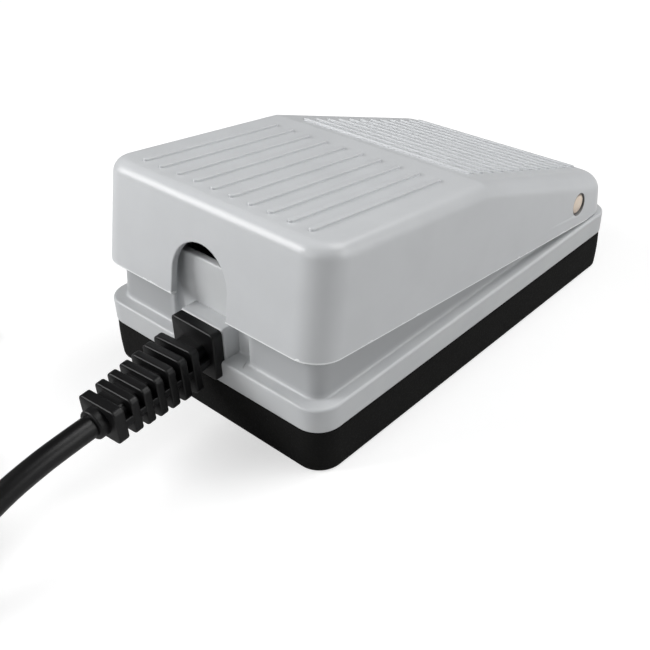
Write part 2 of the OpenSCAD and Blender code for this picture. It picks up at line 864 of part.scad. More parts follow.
// Body of the snap-action switch, with ears for its lever and a well for its plunger
module microswitch_body() {
    color("#1f1f20")
        difference() {
            union() {
                block([-switch_w / 2, switch_y - switch_l / 2, switch_z], [switch_w, switch_l, switch_h]);
                for (s = [-1, 1])
                    translate([s * (lever_w / 2 + pass_gap + ear_t / 2) - ear_t / 2, 0, 0]) {
                        cross_rod(0, ear_t, lever_y, lever_z, ear_r);
                        block([0, lever_y - ear_r, switch_top - ear_r],
                            [ear_t, 2 * ear_r, lever_z - switch_top + ear_r]);
                    }
            }
            cross_rod(-switch_w, switch_w, lever_y, lever_z, knuckle_d / 2 + knuckle_gap);
            block([-lever_w / 2 - pass_gap, lever_y - ear_r, lever_z - knuckle_d / 2 - pass_gap],
                [lever_w + 2 * pass_gap, 2 * ear_r, ear_r + knuckle_d]);
            translate([0, plunger_y, plunger_top - plunger_in - plunger_travel])
                cylinder(h = plunger_in + plunger_travel, d = plunger_d + 2 * plunger_gap);
            for (s = [-1, 1])
                cross_rod(-switch_w, switch_w, switch_y + s * switch_screw_run / 2,
                    switch_z + switch_h / 2 + s * switch_screw_rise / 2, switch_screw_d / 2 + switch_hole_gap);
            for (k = [0:2])
                block([-tab_w / 2, switch_y - switch_l / 2 - over, tab_z + k * tab_pitch],
                    [tab_w, over + tab_in, tab_t]);
        }
}

// Lever of the switch: a strip of sheet on a cross pin that turns in the ears
module microswitch_lever() {
    reach = lever_w / 2 + pass_gap + ear_t;
    color("#b7b9bb") {
        cross_rod(-reach, reach, lever_y, lever_z, knuckle_d / 2);
        translate([0, lever_y, lever_z])
            rotate([lever_angle, 0, 0])
                block([-lever_w / 2, 0, -lever_t / 2], [lever_w, lever_l, lever_t]);
    }
}

// Plunger of the switch, under the lever
module microswitch_plunger() {
    color("#8c2f2a")
        translate([0, plunger_y, plunger_top - plunger_in])
            cylinder(h = plunger_in, d = plunger_d);
}

// Three solder tabs at the switch's end
module microswitch_terminals() {
    color("#b39a5a")
        for (k = [0:2])
            difference() {
                block([-tab_w / 2, switch_y - switch_l / 2 - tab_l, tab_z + k * tab_pitch],
                    [tab_w, tab_l + tab_in, tab_t]);
                translate([0, switch_y - switch_l / 2 - tab_l + tab_w / 2, tab_z + k * tab_pitch - over])
                    cylinder(h = tab_t + 2 * over, d = tab_w / 2);
            }
}

// Two screws through the switch into its bracket
module microswitch_screws() {
    color("#8f9194")
        for (s = [-1, 1])
            translate([switch_w / 2, switch_y + s * switch_screw_run / 2,
                switch_z + switch_h / 2 + s * switch_screw_rise / 2])
                rotate([0, 90, 0])
                    screw(switch_screw_d, switch_w + plate_gap + plate_t, switch_head_d, switch_head_t);
}

// Circuit board on its posts
module circuit_board() {
    color("#2e6b3c")
        difference() {
            block([-board_w / 2, board_front, board_z], [board_w, board_l, board_t]);
            for (p = board_holes)
                translate([p.x, p.y, board_z - over])
                    cylinder(h = board_t + 2 * over, d = small_screw_d + 2 * fit_gap);
        }
}

module board_screws() {
    color("#8f9194")
        for (p = board_holes)
            translate([p.x, p.y, board_top])
                screw(small_screw_d, board_screw_l, small_head_d, small_head_t);
}

// Controller chip with its legs
module controller_chip() {
    color("#202022") {
        block([-chip_w / 2, chip_y - chip_l / 2, board_top + leg_t], [chip_w, chip_l, chip_t]);
        for (s = [-1, 1])
            for (k = [0:legs_a_side - 1])
                block([(k - (legs_a_side - 1) / 2) * leg_pitch - leg_w / 2,
                    chip_y + s * (chip_l + leg_out) / 2 - leg_out, board_top], [leg_w, 2 * leg_out, leg_t]);
    }
}

// Crystal in its can, lying along the board's far edge
module crystal() {
    color("#c4c6c8")
        translate([0, crystal_y, board_top])
            linear_extrude(crystal_h)
                rounded(crystal_l, crystal_w, crystal_w / 2 - sheet);
}

// One upright can and four small chip capacitors
module capacitors() {
    color("#30343c")
        translate([can_x, can_y, board_top])
            cylinder(h = can_h, d = can_d);
    color("#a58a64")
        for (k = [0:3])
            block([board_w / 2 - post_edge - chip_cap.x / 2, board_y + (k - 2) * chip_cap_pitch, board_top], chip_cap);
}

// Socket where the lead's wires meet the board
module lead_connector() {
    color("#e6e3d8")
        difference() {
            block([-connector_w / 2, connector_y - connector_l / 2, board_top],
                [connector_w, connector_l, connector_h]);
            for (k = [0:lead_wires_n - 1])
                translate([(k - (lead_wires_n - 1) / 2) * lead_wire_pitch, connector_y - connector_l / 2 - over,
                    board_top + connector_h / 2])
                    rotate([-90, 0, 0])
                        cylinder(h = over + connector_l / 2, d = wire_d + 2 * fit_gap);
        }
}

// Four wires from the lead's inner end to the socket
module lead_wires() {
    shades = ["#a03030", "#e4e4e4", "#2f7a45", "#202020"];
    for (k = [0:lead_wires_n - 1]) {
        x = (k - (lead_wires_n - 1) / 2) * lead_wire_pitch;
        far = connector_y - sheet;
        high = board_top + connector_h / 2;
        color(shades[k])
            tube([
                [x * wire_bunch_shares[0], inner_end, relief_z],
                [x * wire_bunch_shares[0], inner_end + wire_d / 2, relief_z],
                [x * wire_bunch_shares[1], board_front - wire_d / 3, (relief_z + high) / 2],
                [x, far - connector_l / 2 - wire_d / 2, high], [x, far, high]
            ], wire_d / 2, wire_sides);
    }
}

// Two wires from the board to the switch's outer tabs
module switch_wires() {
    shades = ["#a03030", "#202020"];
    tab_y = switch_y - switch_l / 2 - tab_l;
    for (k = [0, 1]) {
        s = 2 * k - 1;
        x = s * switch_wire_x;
        y = board_y + board_l / 2 - switch_wire_in;
        z = tab_z + 2 * k * tab_pitch + tab_t + wire_d / 2;
        color(shades[k])
            tube([
                [x, y, board_top], [x, y, board_top + switch_wire_up],
                [x * switch_wire_shares[0], y + wire_d, board_top + 2 * switch_wire_up],
                [x * switch_wire_shares[1], tab_y, z], [x * switch_wire_shares[2], tab_y + tab_l / 2, z]
            ], wire_d / 2, wire_sides, [1, 0, 0]);
    }
}

// Bar that holds the lead down in its saddle
module lead_clamp() {
    color("#bfc2c4")
        difference() {
            block([-clamp_w / 2, clamp_y - clamp_l / 2, relief_z + clamp_split / 2],
                [clamp_w, clamp_l, clamp_lift - clamp_split / 2]);
            translate([0, clamp_y - clamp_l / 2 - over, relief_z])
                rotate([-90, 0, 0])
                    cylinder(h = clamp_l + 2 * over, d = cable_d + 2 * pin_push_gap);
            for (s = [-1, 1])
                translate([s * clamp_screw_x, clamp_y, relief_z])
                    cylinder(h = clamp_lift + over, d = small_screw_d + 2 * fit_gap);
        }
}

module clamp_screws() {
    color("#8f9194")
        for (s = [-1, 1])
            translate([s * clamp_screw_x, clamp_y, relief_z + clamp_lift])
                screw(small_screw_d, clamp_lift - clamp_split / 2 + small_screw_l, small_head_d, small_head_t);
}

// Strain relief: flange, neck and lip in the base, and a ribbed body outside
module strain_relief() {
    color("#262626") {
        translate([0, block_front, flange_z + flange_h / 2])
            rotate([90, 0, 0])
                linear_extrude(flange_t)
                    rounded(flange_w, flange_h, flange_r);
        block([-neck_w / 2, block_front - flange_t / 2, relief_z - neck_w / 2],
            [neck_w, neck_end - block_front + flange_t / 2, neck_w]);
        block([-lip_w / 2, neck_end - lip_t, relief_z - lip_h / 2], [lip_w, lip_t, lip_h]);
        at_relief() {
            translate([0, flange_t / 2, 0])
                rotate([90, 0, 0])
                    linear_extrude(relief_len + flange_t / 2 - end_t / 2)
                        rounded(core_w, core_h, relief_r);
            translate([-web_w / 2, -relief_len + end_t / 2, -web_t / 2])
                cube([web_w, relief_len - end_t / 2 + flange_t / 2, web_t]);
            for (k = [0:relief_ribs]) {
                last = k == relief_ribs;
                share = k / relief_ribs;
                face = last ? relief_len : first_rib + k * relief_pitch;
                t = last ? end_t : relief_rib_t;
                translate([0, t - face, 0])
                    rotate([90, 0, 0])
                        linear_extrude(t)
                            rounded(relief_w + (relief_end_w - relief_w) * share,
                                relief_h + (relief_end_h - relief_h) * share, relief_r);
            }
            translate([0, -relief_len, 0])
                rotate([90, 0, 0])
                    cylinder(h = collar_l, d = collar_d);
        }
    }
}

// Inner end of the lead, from the strain relief's neck through the clamp
module inner_lead() {
    color("#2a2a2b")
        translate([0, neck_end, relief_z])
            rotate([-90, 0, 0])
                cylinder(h = inner_end - neck_end, d = cable_d);
}

// The lead from the strain relief to the coil
module cable_free() {
    color("#2a2a2b")
        tube(concat([relief_tip], lead_route, [coil_first + [0, cable_d, 0]]), cable_d / 2, cable_sides);
}

// The lead's spare length, wound flat on the floor
module cable_coil() {
    color("#2a2a2b")
        tube(coil_points, coil_r, coil_sides);
}

// The lead from the coil to the plug
module cable_tail() {
    color("#2a2a2b")
        tube(concat([coil_last + [0, cable_d, 0]], tail_route, [[coil_last.x, plug_y, grip_h / 2]]),
            cable_d / 2, cable_sides);
}

// Band that holds the coil together
module cable_tie() {
    span = coil_out - coil_in + cable_d + 2 * tie_gap;
    rise = coil_pitch + cable_d + 2 * tie_gap;
    color("#1d1d1d")
        translate([coil_x, coil_y + coil_mid, rise / 2 + tie_t])
            rotate([90, 0, 90])
                translate([0, 0, -tie_w / 2])
                    linear_extrude(tie_w)
                        difference() {
                            rounded(span + 2 * tie_t, rise + 2 * tie_t, tie_r);
                            rounded(span, rise, tie_r - tie_t);
                        }
}

// Moulded grip of the plug, with a neck around the lead
module plug_grip() {
    color("#222223")
        difference() {
            union() {
                translate([coil_last.x, plug_y, grip_h / 2])
                    rotate([-90, 0, 0])
                        cylinder(h = neck_l + over, d = neck_d);
                translate([coil_last.x, plug_y + neck_l, grip_h / 2])
                    rotate([-90, 0, 0])
                        linear_extrude(grip_l - neck_l)
                            rounded(grip_w, grip_h, relief_r);
            }
            translate([coil_last.x - shell_w / 2, plug_y + grip_l - shell_l / 2, (grip_h - shell_h) / 2])
                cube([shell_w, shell_l, shell_h]);
        }
}

// Metal shell of the plug, open at its end
module plug_shell() {
    color("#c9cbce")
        difference() {
            translate([coil_last.x - shell_w / 2, plug_y + grip_l - shell_l / 2, (grip_h - shell_h) / 2])
                cube([shell_w, shell_l * 3 / 2, shell_h]);
            translate([coil_last.x - shell_w / 2 + shell_t, plug_y + grip_l - shell_l / 2 + shell_t,
                (grip_h - shell_h) / 2 + shell_t])
                cube([shell_w - 2 * shell_t, shell_l * 3 / 2, shell_h - 2 * shell_t]);
        }
}

// Plastic tongue inside the shell
module plug_tongue() {
    color("#f0f0ee")
        translate([coil_last.x - tongue_w / 2, plug_y + grip_l - shell_l / 2 + tongue_in, tongue_z])
            cube([tongue_w, shell_l * 3 / 2 - tongue_in - tongue_in, tongue_t]);
}

// Four contacts on the tongue
module plug_contacts() {
    color("#d0b060")
        for (k = [0:contacts_n - 1])
            translate([coil_last.x + (k - (contacts_n - 1) / 2) * contact_pitch - contact_w / 2,
                plug_y + grip_l, tongue_z + tongue_t])
                cube([contact_w, shell_l - contact_in, contact_t]);
}

foam_pad();
base_housing();
pedal_cover();
hinge_pin();
return_spring_left();
return_spring_right();
stop_bumpers();
microswitch_body();
microswitch_lever();
microswitch_plunger();
microswitch_terminals();
microswitch_screws();
circuit_board();
board_screws();
controller_chip();
crystal();
capacitors();
lead_connector();
lead_wires();
switch_wires();
lead_clamp();
clamp_screws();
strain_relief();
inner_lead();
cable_free();
cable_coil();
cable_tail();
cable_tie();
plug_grip();
plug_shell();
plug_tongue();
plug_contacts();
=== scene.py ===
# %% [markdown]
# A foot switch is a pedal cover hinged over a low base, with a snap-action switch inside and a lead
# that ends in a plug. The imported CAD model gives every place and size, so this lesson only dresses it:
# each seen part gets a smooth surface worked out in numpy and a finish made of shader nodes.
# We start by loading that model.

import bpy
import numpy as np
from mathutils import Matrix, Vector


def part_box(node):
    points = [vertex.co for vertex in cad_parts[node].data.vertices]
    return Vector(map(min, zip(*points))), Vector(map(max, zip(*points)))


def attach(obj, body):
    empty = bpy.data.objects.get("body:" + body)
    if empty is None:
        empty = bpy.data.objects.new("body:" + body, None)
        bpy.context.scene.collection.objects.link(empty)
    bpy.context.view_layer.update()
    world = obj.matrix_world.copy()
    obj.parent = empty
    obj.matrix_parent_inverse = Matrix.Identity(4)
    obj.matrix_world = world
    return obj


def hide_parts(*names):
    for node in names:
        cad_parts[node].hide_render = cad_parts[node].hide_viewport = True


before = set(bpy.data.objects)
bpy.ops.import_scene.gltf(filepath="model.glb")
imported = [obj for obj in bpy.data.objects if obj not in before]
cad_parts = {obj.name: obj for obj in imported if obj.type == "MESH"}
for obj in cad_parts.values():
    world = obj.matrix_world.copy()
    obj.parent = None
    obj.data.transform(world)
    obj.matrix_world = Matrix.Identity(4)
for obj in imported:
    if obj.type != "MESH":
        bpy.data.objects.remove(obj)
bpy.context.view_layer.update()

# %% [markdown]
# The frame is in metres, but small parts are easier to think about in millimetres. Every size below,
# except the lead's route, is in millimetres and turns into metres only when a mesh is made. Places
# that the frame knows, such as the pad's corners and the pin's axis, are read from it.

# %% Sizes that the frame gives
MM = 0.001


def box_mm(node):
    """Lowest and highest corner of a CAD node, in millimetres."""
    return np.array(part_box(node)) / MM


def placed(name, data):
    """A new object around this data, put in the scene."""
    made = bpy.data.objects.new(name, data)
    bpy.context.scene.collection.objects.link(made)
    return made


def face_along(made, place, right, up, back):
    """Puts an object at a place in metres, with its own three directions along these."""
    made.matrix_world = Matrix.Translation(place) @ Matrix(np.stack([right, up, back], axis=1).tolist()).to_4x4()


pad_low, pad_high = box_mm("foam_pad")
base_half, front_y, rear_y, pad_top = pad_high[0], pad_low[1], pad_high[1], pad_high[2]
pin_low, pin_high = box_mm("hinge_pin")
pivot_y, pivot_z = (pin_low[1] + pin_high[1]) / 2, (pin_low[2] + pin_high[2]) / 2
print("pad", 2 * base_half, "x", rear_y - front_y, "pin axis", pivot_y, pivot_z)

# %% [markdown]
# The camera comes first, because the lead's coil has to lie outside its view. It stands to the right
# of the lead's end and looks down at the corner. Three angles turn it: round the object, up, and a
# slight roll. The columns of its matrix are its right, up and backward directions.

# %% Camera
camera_place = np.array([120.757, -145.572, 123.185])
azimuth, elevation, roll = np.radians([43.395, 34.540, -1.736])
camera_lens = 49.9017

back = np.array([np.sin(azimuth) * np.cos(elevation), -np.cos(azimuth) * np.cos(elevation), np.sin(elevation)])
level_right = np.array([np.cos(azimuth), np.sin(azimuth), 0.0])
level_up = np.cross(back, level_right)
right = np.cos(roll) * level_right + np.sin(roll) * level_up
up = np.cross(back, right)

camera = placed("camera", bpy.data.cameras.new("camera"))
face_along(camera, camera_place * MM, right, up, back)
camera.data.lens = camera_lens
camera.data.clip_start, camera.data.clip_end = 0.01, 20
bpy.context.scene.camera = camera
bpy.context.scene.view_settings.view_transform = "Standard"
print("camera at", camera_place, "lens", camera_lens)

# %% [markdown]
# The lead is 4.6 mm round and 1.5 m long. It leaves the strain relief, sinks to the floor and runs
# into a flat coil held by a tie. The coil is wound in two layers: the first turns go inwards on the
# floor, half a turn climbs one layer, and the rest go outwards on top, so no turn meets another.
# Its points are joined by one smooth spline whose round bevel is the jacket.

# %% The lead's route
lead_d = 4.6
relief_z = 16.0
flange_front = -56.6
relief_yaw, relief_droop = np.radians([4.5, 2.0])
relief_len, collar_l, collar_r = 25.0, 2.0, 3.1
along_relief = np.array([
    np.cos(relief_droop) * np.sin(relief_yaw),
    -np.cos(relief_droop) * np.cos(relief_yaw),
    -np.sin(relief_droop),
])
relief_start = np.array([0.0, flange_front, relief_z])
relief_tip = relief_start + (relief_len + collar_l) * along_relief
lead_route = [
    [0.0025, -0.0885, 0.0149], [0.003, -0.096, 0.0143], [0.0036, -0.104, 0.0129], [0.0046, -0.112, 0.0106],
    [0.0056, -0.120, 0.0078], [0.0064, -0.127, 0.0053], [0.0071, -0.1322, 0.0038], [0.00744, -0.1354, 0.0034],
]
tail_route = [
    [-0.06744, -0.1356, 0.0085], [-0.068, -0.130, 0.0074], [-0.068, -0.123, 0.0054], [-0.0677, -0.118, 0.0042],
    [-0.06744, -0.1144, 0.0038],
]
coil_centre = np.array([-30.0, -142.0])
coil_turns, coil_mid, coil_gap, coil_z = 8.5, 26.6, 0.5, 3.4
rings_a_turn = 24
coil_pitch = lead_d + coil_gap
coil_inner = coil_mid - coil_pitch * coil_turns / 4
plug_y, grip_l, grip_w, grip_h = -112.0, 26.0, 14.4, 7.6


def coil_points():
    """Points of the coil. The radius is the inner one plus a pitch for each turn away from the middle
    turn, and the height climbs one pitch along a smooth step of half a turn around the middle."""
    turn_now = np.arange(coil_turns * rings_a_turn + 1) / rings_a_turn
    from_mid = turn_now - coil_turns / 2
    radius = coil_inner + coil_pitch * np.abs(from_mid)
    step = np.clip(2 * from_mid + 0.5, 0, 1)
    height = coil_z + coil_pitch * step * step * (3 - 2 * step)
    angle = -2 * np.pi * turn_now
    return np.stack([coil_centre[0] + radius * np.cos(angle), coil_centre[1] + radius * np.sin(angle), height], -1)


coil = coil_points()
straight = np.array([0, lead_d, 0])
plug_x = coil[-1, 0]
lead_points = np.concatenate([
    [relief_tip], np.array(lead_route) / MM, [coil[0] + straight], coil, [coil[-1] + straight],
    np.array(tail_route) / MM, [[plug_x, plug_y, grip_h / 2]],
])

# %% The lead as one spline
lead_curve = bpy.data.curves.new("lead", "CURVE")
lead_curve.dimensions = "3D"
lead_curve.bevel_depth = lead_d / 2 * MM
lead_curve.bevel_resolution = 6
lead_curve.use_fill_caps = True
spline = lead_curve.splines.new("BEZIER")
spline.resolution_u = 4
spline.bezier_points.add(len(lead_points) - 1)
spline.bezier_points.foreach_set("co", (lead_points * MM).ravel())
for point in spline.bezier_points:
    point.handle_left_type = point.handle_right_type = "AUTO"
lead = placed("lead", lead_curve)

# %% [markdown]
# Finishes are written as sums. A small class stands for one value in a material, and adding or
# multiplying two of them adds the Math node that does it. Everything else comes from one method that
# makes a node from its type, its settings and what goes into its sockets. Finished materials are kept
# by name in one table.

# %% A small language for shaders
def paint(code):
    """A colour written as six hex digits, turned into the linear numbers that Blender renders with."""
    value = np.array([int(code[i:i + 2], 16) for i in (1, 3, 5)]) / 255
    return (*np.where(value <= 0.04045, value / 12.92, ((value + 0.055) / 1.055) ** 2.4), 1.0)


class Value:
    """A value inside a finish: the output of a node."""

    def __init__(self, finish, socket):
        self.finish, self.socket = finish, socket

    def math(self, operation, first, second):
        return self.finish.node("ShaderNodeMath", {"operation": operation}, [first, second])

    def __add__(self, other):
        return self.math("ADD", self, other)

    def __sub__(self, other):
        return self.math("SUBTRACT", self, other)

    def __rsub__(self, other):
        return self.math("SUBTRACT", other, self)

    def __mul__(self, other):
        return self.math("MULTIPLY", self, other)

    __radd__ = __add__

    def step(self, low, high):
        """0 below low, 1 above high, and smooth between."""
        return self.finish.node(
            "ShaderNodeMapRange", {"interpolation_type": "SMOOTHSTEP"}, [self, low, high, 0.0, 1.0]
        )


class Nodes:
    """A tree of nodes, of a material or of the world."""

    def __init__(self, tree):
        self.tree = tree

    def fill(self, socket, value):
        """Links another node's output, or sets an even value, where a string is a colour's code."""
        if isinstance(value, Value):
            self.tree.links.new(value.socket, socket)
        else:
            socket.default_value = paint(value) if isinstance(value, str) else value

    def node(self, kind, settings, inputs, output=0):
        """A node of this kind, with its settings set first and then its sockets, by number or by name."""
        made = self.tree.nodes.new(kind)
        for key, value in settings.items():
            setattr(made, key, value)
        for key, value in inputs.items() if isinstance(inputs, dict) else enumerate(inputs):
            self.fill(made.inputs[key], value)
        return Value(self, made.outputs[output])


class Finish(Nodes):
    """A material with one Principled shader, whose even values are given by their sockets' names."""

    def __init__(self, name, plain):
        self.material = finishes[name] = bpy.data.materials.new(name)
        self.material.use_nodes = True
        super().__init__(self.material.node_tree)
        self.shader = self.tree.nodes["Principled BSDF"]
        self.place = self.node("ShaderNodeTexCoord", {}, {}, "Object")
        for key, value in plain.items():
            self.shader.inputs[key].default_value = value

    def noise(self, size_mm, detail=2.0, stretch=(1, 1, 1)):
        """Smooth random values whose lumps are about this many millimetres across."""
        place = self.node("ShaderNodeMapping", {}, {"Vector": self.place, "Scale": stretch})
        return self.node("ShaderNodeTexNoise", {}, {"Vector": place, "Scale": 1 / (size_mm * MM), "Detail": detail})

    def cells(self, size_mm):
        """Distance from the nearest of many scattered points, for pores and crumbs."""
        return self.node("ShaderNodeTexVoronoi", {}, {"Vector": self.place, "Scale": 1 / (size_mm * MM)})

    def blend(self, factor, first, second):
        """A mix of two colours."""
        return self.node("ShaderNodeMix", {"data_type": "RGBA"}, {0: factor, 6: first, 7: second}, 2)

    def axis(self, letter):
        """One coordinate of the object's own space, in millimetres."""
        return self.node("ShaderNodeSeparateXYZ", {}, {"Vector": self.place}, letter) * (1 / MM)

    def coat(self, colour, roughness, height, depth_mm):
        """Gives the shader its colour, its roughness and small bumps."""
        bump = self.node("ShaderNodeBump", {}, {"Height": height, "Distance": depth_mm * MM})
        for name, value in (("Base Color", colour), ("Roughness", roughness), ("Normal", bump)):
            self.fill(self.shader.inputs[name], value)


finishes = {}
print("shader words ready")

# %% [markdown]
# Moulded plastic is never one flat colour. The mould leaves a fine spark grain, the melt cools with a
# faint cloudiness, and fingers polish some of it. One recipe gives all three.

# %% Plastics
def moulded(name, pale, deep, roughness, grain_mm, grain_depth_mm, marks=None, shine=0.5):
    """Moulded plastic: cloudy colour between two tones, uneven gloss and a fine grain, and on some
    pieces painted shade and highlight that a second function adds to the colour."""
    finish = Finish(name, {"IOR": 1.5, "Specular IOR Level": shine})
    cloud = finish.noise(9.0, 3.0)
    grain = finish.noise(grain_mm, 4.0)
    tone = finish.blend(cloud.step(0.3, 0.7), deep, pale)
    gloss = roughness + (grain - 0.5) * 0.12 + (cloud - 0.5) * 0.08
    finish.coat(marks(finish, tone) if marks else tone, gloss, grain, grain_depth_mm)


moulded("relief_plastic", "#0c0c0d", "#080809", 0.42, 0.3, 0.008, shine=0.35)
for look in [
    ("switch_plastic", "#252526", "#1c1c1d", 0.5, 0.25, 0.006),
    ("plunger_plastic", "#96352f", "#842b26", 0.4, 0.3, 0.004),
    ("connector_plastic", "#e9e6db", "#dfdbce", 0.45, 0.3, 0.004),
    ("tongue_plastic", "#f1f1ee", "#e6e6e2", 0.45, 0.3, 0.004),
    ("tie_plastic", "#222223", "#1a1a1b", 0.4, 0.3, 0.004),
    ("chip_resin", "#242427", "#1b1b1d", 0.6, 0.15, 0.006),
    ("bumper_rubber", "#303030", "#262626", 0.75, 0.3, 0.01),
    ("wire_insulation", "#a83434", "#962c2c", 0.45, 0.4, 0.003),
]:
    moulded(*look)
print("plastics made")


# %% [markdown]
# The foam under the base is a closed-cell sheet, cut with a blade. Its cut sides show small burst
# bubbles, so two sizes of cells dent it, and it is dull and nearly black. The jacket of the lead is
# soft and smooth, with a slow unevenness from the extruder.

# %% Foam and jacket
def foam_finish():
    """Dull black foam: fine burst cells, a few larger ones, and a dusty grey on their rims."""
    finish = Finish("foam", {"Specular IOR Level": 0.25})
    small = finish.cells(0.45).step(0.1, 0.6)
    large = finish.cells(1.6).step(0.08, 0.35)
    dust = finish.noise(6.0, 4.0).step(0.45, 0.8)
    dark = finish.blend(small, "#040404", "#0b0b0a")
    colour = finish.blend(dust * 0.2, dark, "#161614")
    finish.coat(colour, 0.82 + small * 0.12, small * 0.6 + large * 0.4, 0.05)


def jacket_finish():
    """Soft lead jacket: nearly black, satin, with faint waves along it."""
    finish = Finish("lead_jacket", {"Specular IOR Level": 0.35})
    wave = finish.noise(3.5, 2.0)
    skin_noise = finish.noise(0.3, 3.0)
    colour = finish.blend(wave.step(0.3, 0.7), "#060607", "#09090a")
    finish.coat(colour, 0.38 + (skin_noise - 0.5) * 0.15, wave * 0.7 + skin_noise * 0.3, 0.03)


foam_finish()
jacket_finish()
print("foam and jacket made")


# %% [markdown]
# Bright metal takes its look from what it mirrors, so its finish is mostly roughness: long scratches
# for drawn or turned stock, and clouds for plated sheet.

# %% Metals
def metal(name, pale, deep, roughness, stretch=(1, 1, 1), marks=None, metallic=1.0):
    """Plated or drawn metal: two close tones and fine lines along one direction."""
    finish = Finish(name, {"Metallic": metallic})
    lines = finish.noise(0.5, 4.0, stretch)
    cloud = finish.noise(4.0, 3.0)
    tone = finish.blend(cloud.step(0.3, 0.7), deep, pale)
    finish.coat(marks(finish, tone) if marks else tone, roughness + (lines - 0.5) * 0.16, lines, 0.004)


for look in [
    ("spring_steel", "#c3c5c8", "#b4b6b9", 0.3),
    ("lever_steel", "#c2c4c6", "#b0b2b4", 0.28, (1, 0.1, 1)),
    ("screw_steel", "#a5a7aa", "#939598", 0.32),
    ("contact_brass", "#cdb06c", "#bb9e5b", 0.3),
    ("can_metal", "#cfd1d3", "#bfc1c3", 0.28),
    ("plug_metal", "#cdcfd2", "#bdbfc2", 0.26, (1, 0.08, 1)),
]:
    metal(*look)
print("metals made")


# %% Circuit board
def laminate():
    """Green solder mask over glass weave, with the copper's tracks showing through as a paler green."""
    finish = Finish("board_laminate", {"IOR": 1.5})
    weave = finish.node("ShaderNodeTexBrick", {"offset": 0.0}, {
        "Vector": finish.place, "Scale": 1 / (1.6 * MM), "Mortar Size": 0.12, "Color1": (1, 1, 1, 1),
        "Color2": (1, 1, 1, 1), "Mortar": (0, 0, 0, 1),
    })
    cloud = finish.noise(2.5, 2.0)
    tracks = cloud.step(0.45, 0.55)
    mask = finish.blend(tracks, "#27603a", "#2f6d44")
    finish.coat(finish.blend(weave * 0.15, "#1f5130", mask), 0.3 + cloud * 0.15, tracks, 0.03)


laminate()
print("laminate made")

# %% [markdown]
# Almost every part here is a stack of rings: the same outline, pulled in a little and moved up, again
# and again. Three helpers do all of it. An outline gives a rectangle with round corners, a skin joins
# rings with quads and closes the ends, and a piece puts finished skins into one mesh.
# A line of points just off each round keeps the flat beside it flat when the shading is smoothed.

# %% Outlines
guard, least_r = 0.3, 0.02


def angles(start, stop, steps):
    return np.radians(np.linspace(start, stop, steps + 1))


def quarter(e, steps):
    """Pairs round a quarter circle: e (1 - cos t), which grows from 0 to e, and e (1 - sin t), which shrinks."""
    return [(e * (1 - np.cos(t)), e * (1 - np.sin(t))) for t in angles(0, 90, steps)]


def mirrored(half):
    """The right half of an outline and then its mirror image, backwards."""
    return np.concatenate([half, half[::-1] * [-1, 1]])


def outline(half_w, y0, y1, r, stations=(), steps=10):
    """Points and outward normals of a rectangle with round corners, counter-clockwise from above.
    On the right each corner is its centre plus r (cos a, sin a) and straight lines join them, with
    extra points at the stations."""
    low, high = angles(-90, 0, steps), angles(0, 90, steps)
    off_x = min(guard, 0.4 * (half_w - r))
    off_y = min(guard, 0.4 * ((y1 - y0) / 2 - r))
    a = np.concatenate([low[:1], low, np.zeros(len(stations) + 2), high, high[-1:]])
    x = half_w - r + r * np.cos(a)
    x[[0, -1]] = half_w - r - off_x
    y = np.concatenate([
        [y0], y0 + r + r * np.sin(low), [y0 + r + off_y], stations, [y1 - r - off_y],
        y1 - r + r * np.sin(high), [y1],
    ])
    return mirrored(np.stack([x, y], -1)), mirrored(np.stack([np.cos(a), np.sin(a)], -1))


def at_height(flat, z):
    """Flat points lifted to a height, or to a height each."""
    return np.column_stack([flat, np.broadcast_to(z, len(flat))])


# %% Skins and pieces
sharp_from = np.radians(32)


def skin(rings, ends="flat"):
    """Quads between neighbouring rings, which run counter-clockwise seen from the last ring's side.
    Each end is a flat face or a ladder of strips, or the last ring joins the first in a loop."""
    rings = np.asarray(rings, float)
    count, size = rings.shape[:2]
    last = count - 1
    start = np.arange(count if ends == "loop" else last)[:, None] * size
    after = (start + size) % (count * size)
    j, k = np.arange(size), (np.arange(size) + 1) % size
    faces = np.stack([start + j, start + k, after + k, after + j], -1).reshape(-1, 4).tolist()
    if ends == "flat":
        faces += [j[::-1].tolist(), (last * size + j).tolist()]
    if ends == "ladder":
        near = np.arange(size // 2 - 1)
        far = size - 1 - near
        strips = np.stack([near, near + 1, far - 1, far], -1)
        faces += strips[:, ::-1].tolist() + (last * size + strips).tolist()
    return rings.reshape(-1, 3), faces


def piece(name, shells, body, finish, stands_for=()):
    """One object from closed shells, in millimetres, that rides on a body. It has one finish."""
    points, faces, done = [], [], 0
    for shell_points, shell_faces in shells:
        points.append(shell_points)
        faces += [[done + i for i in face] for face in shell_faces]
        done += len(shell_points)
    mesh = bpy.data.meshes.new(name)
    mesh.from_pydata((np.concatenate(points) * MM).tolist(), [], faces)
    mesh.materials.append(finishes[finish])
    mesh.shade_smooth()
    mesh.set_sharp_from_angle(angle=sharp_from)
    made = placed(name, mesh)
    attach(made, body)
    if stands_for:
        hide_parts(*stands_for)
    print(name, len(mesh.polygons), "faces")
    return made


def carve(made, shells):
    """Cuts closed shells out of a piece."""
    cutter = piece("cutter", shells, "base", "base_plastic")
    cut = made.modifiers.new("cut", "BOOLEAN")
    cut.operation, cut.solver, cut.object = "DIFFERENCE", "EXACT", cutter
    depsgraph = bpy.context.evaluated_depsgraph_get()
    carved = bpy.data.meshes.new_from_object(made.evaluated_get(depsgraph))
    made.modifiers.clear()
    made.data = carved
    bpy.data.objects.remove(cutter)
    carved.shade_smooth()
    carved.set_sharp_from_angle(angle=sharp_from)
    print(made.name, "carved,", len(carved.polygons), "faces")


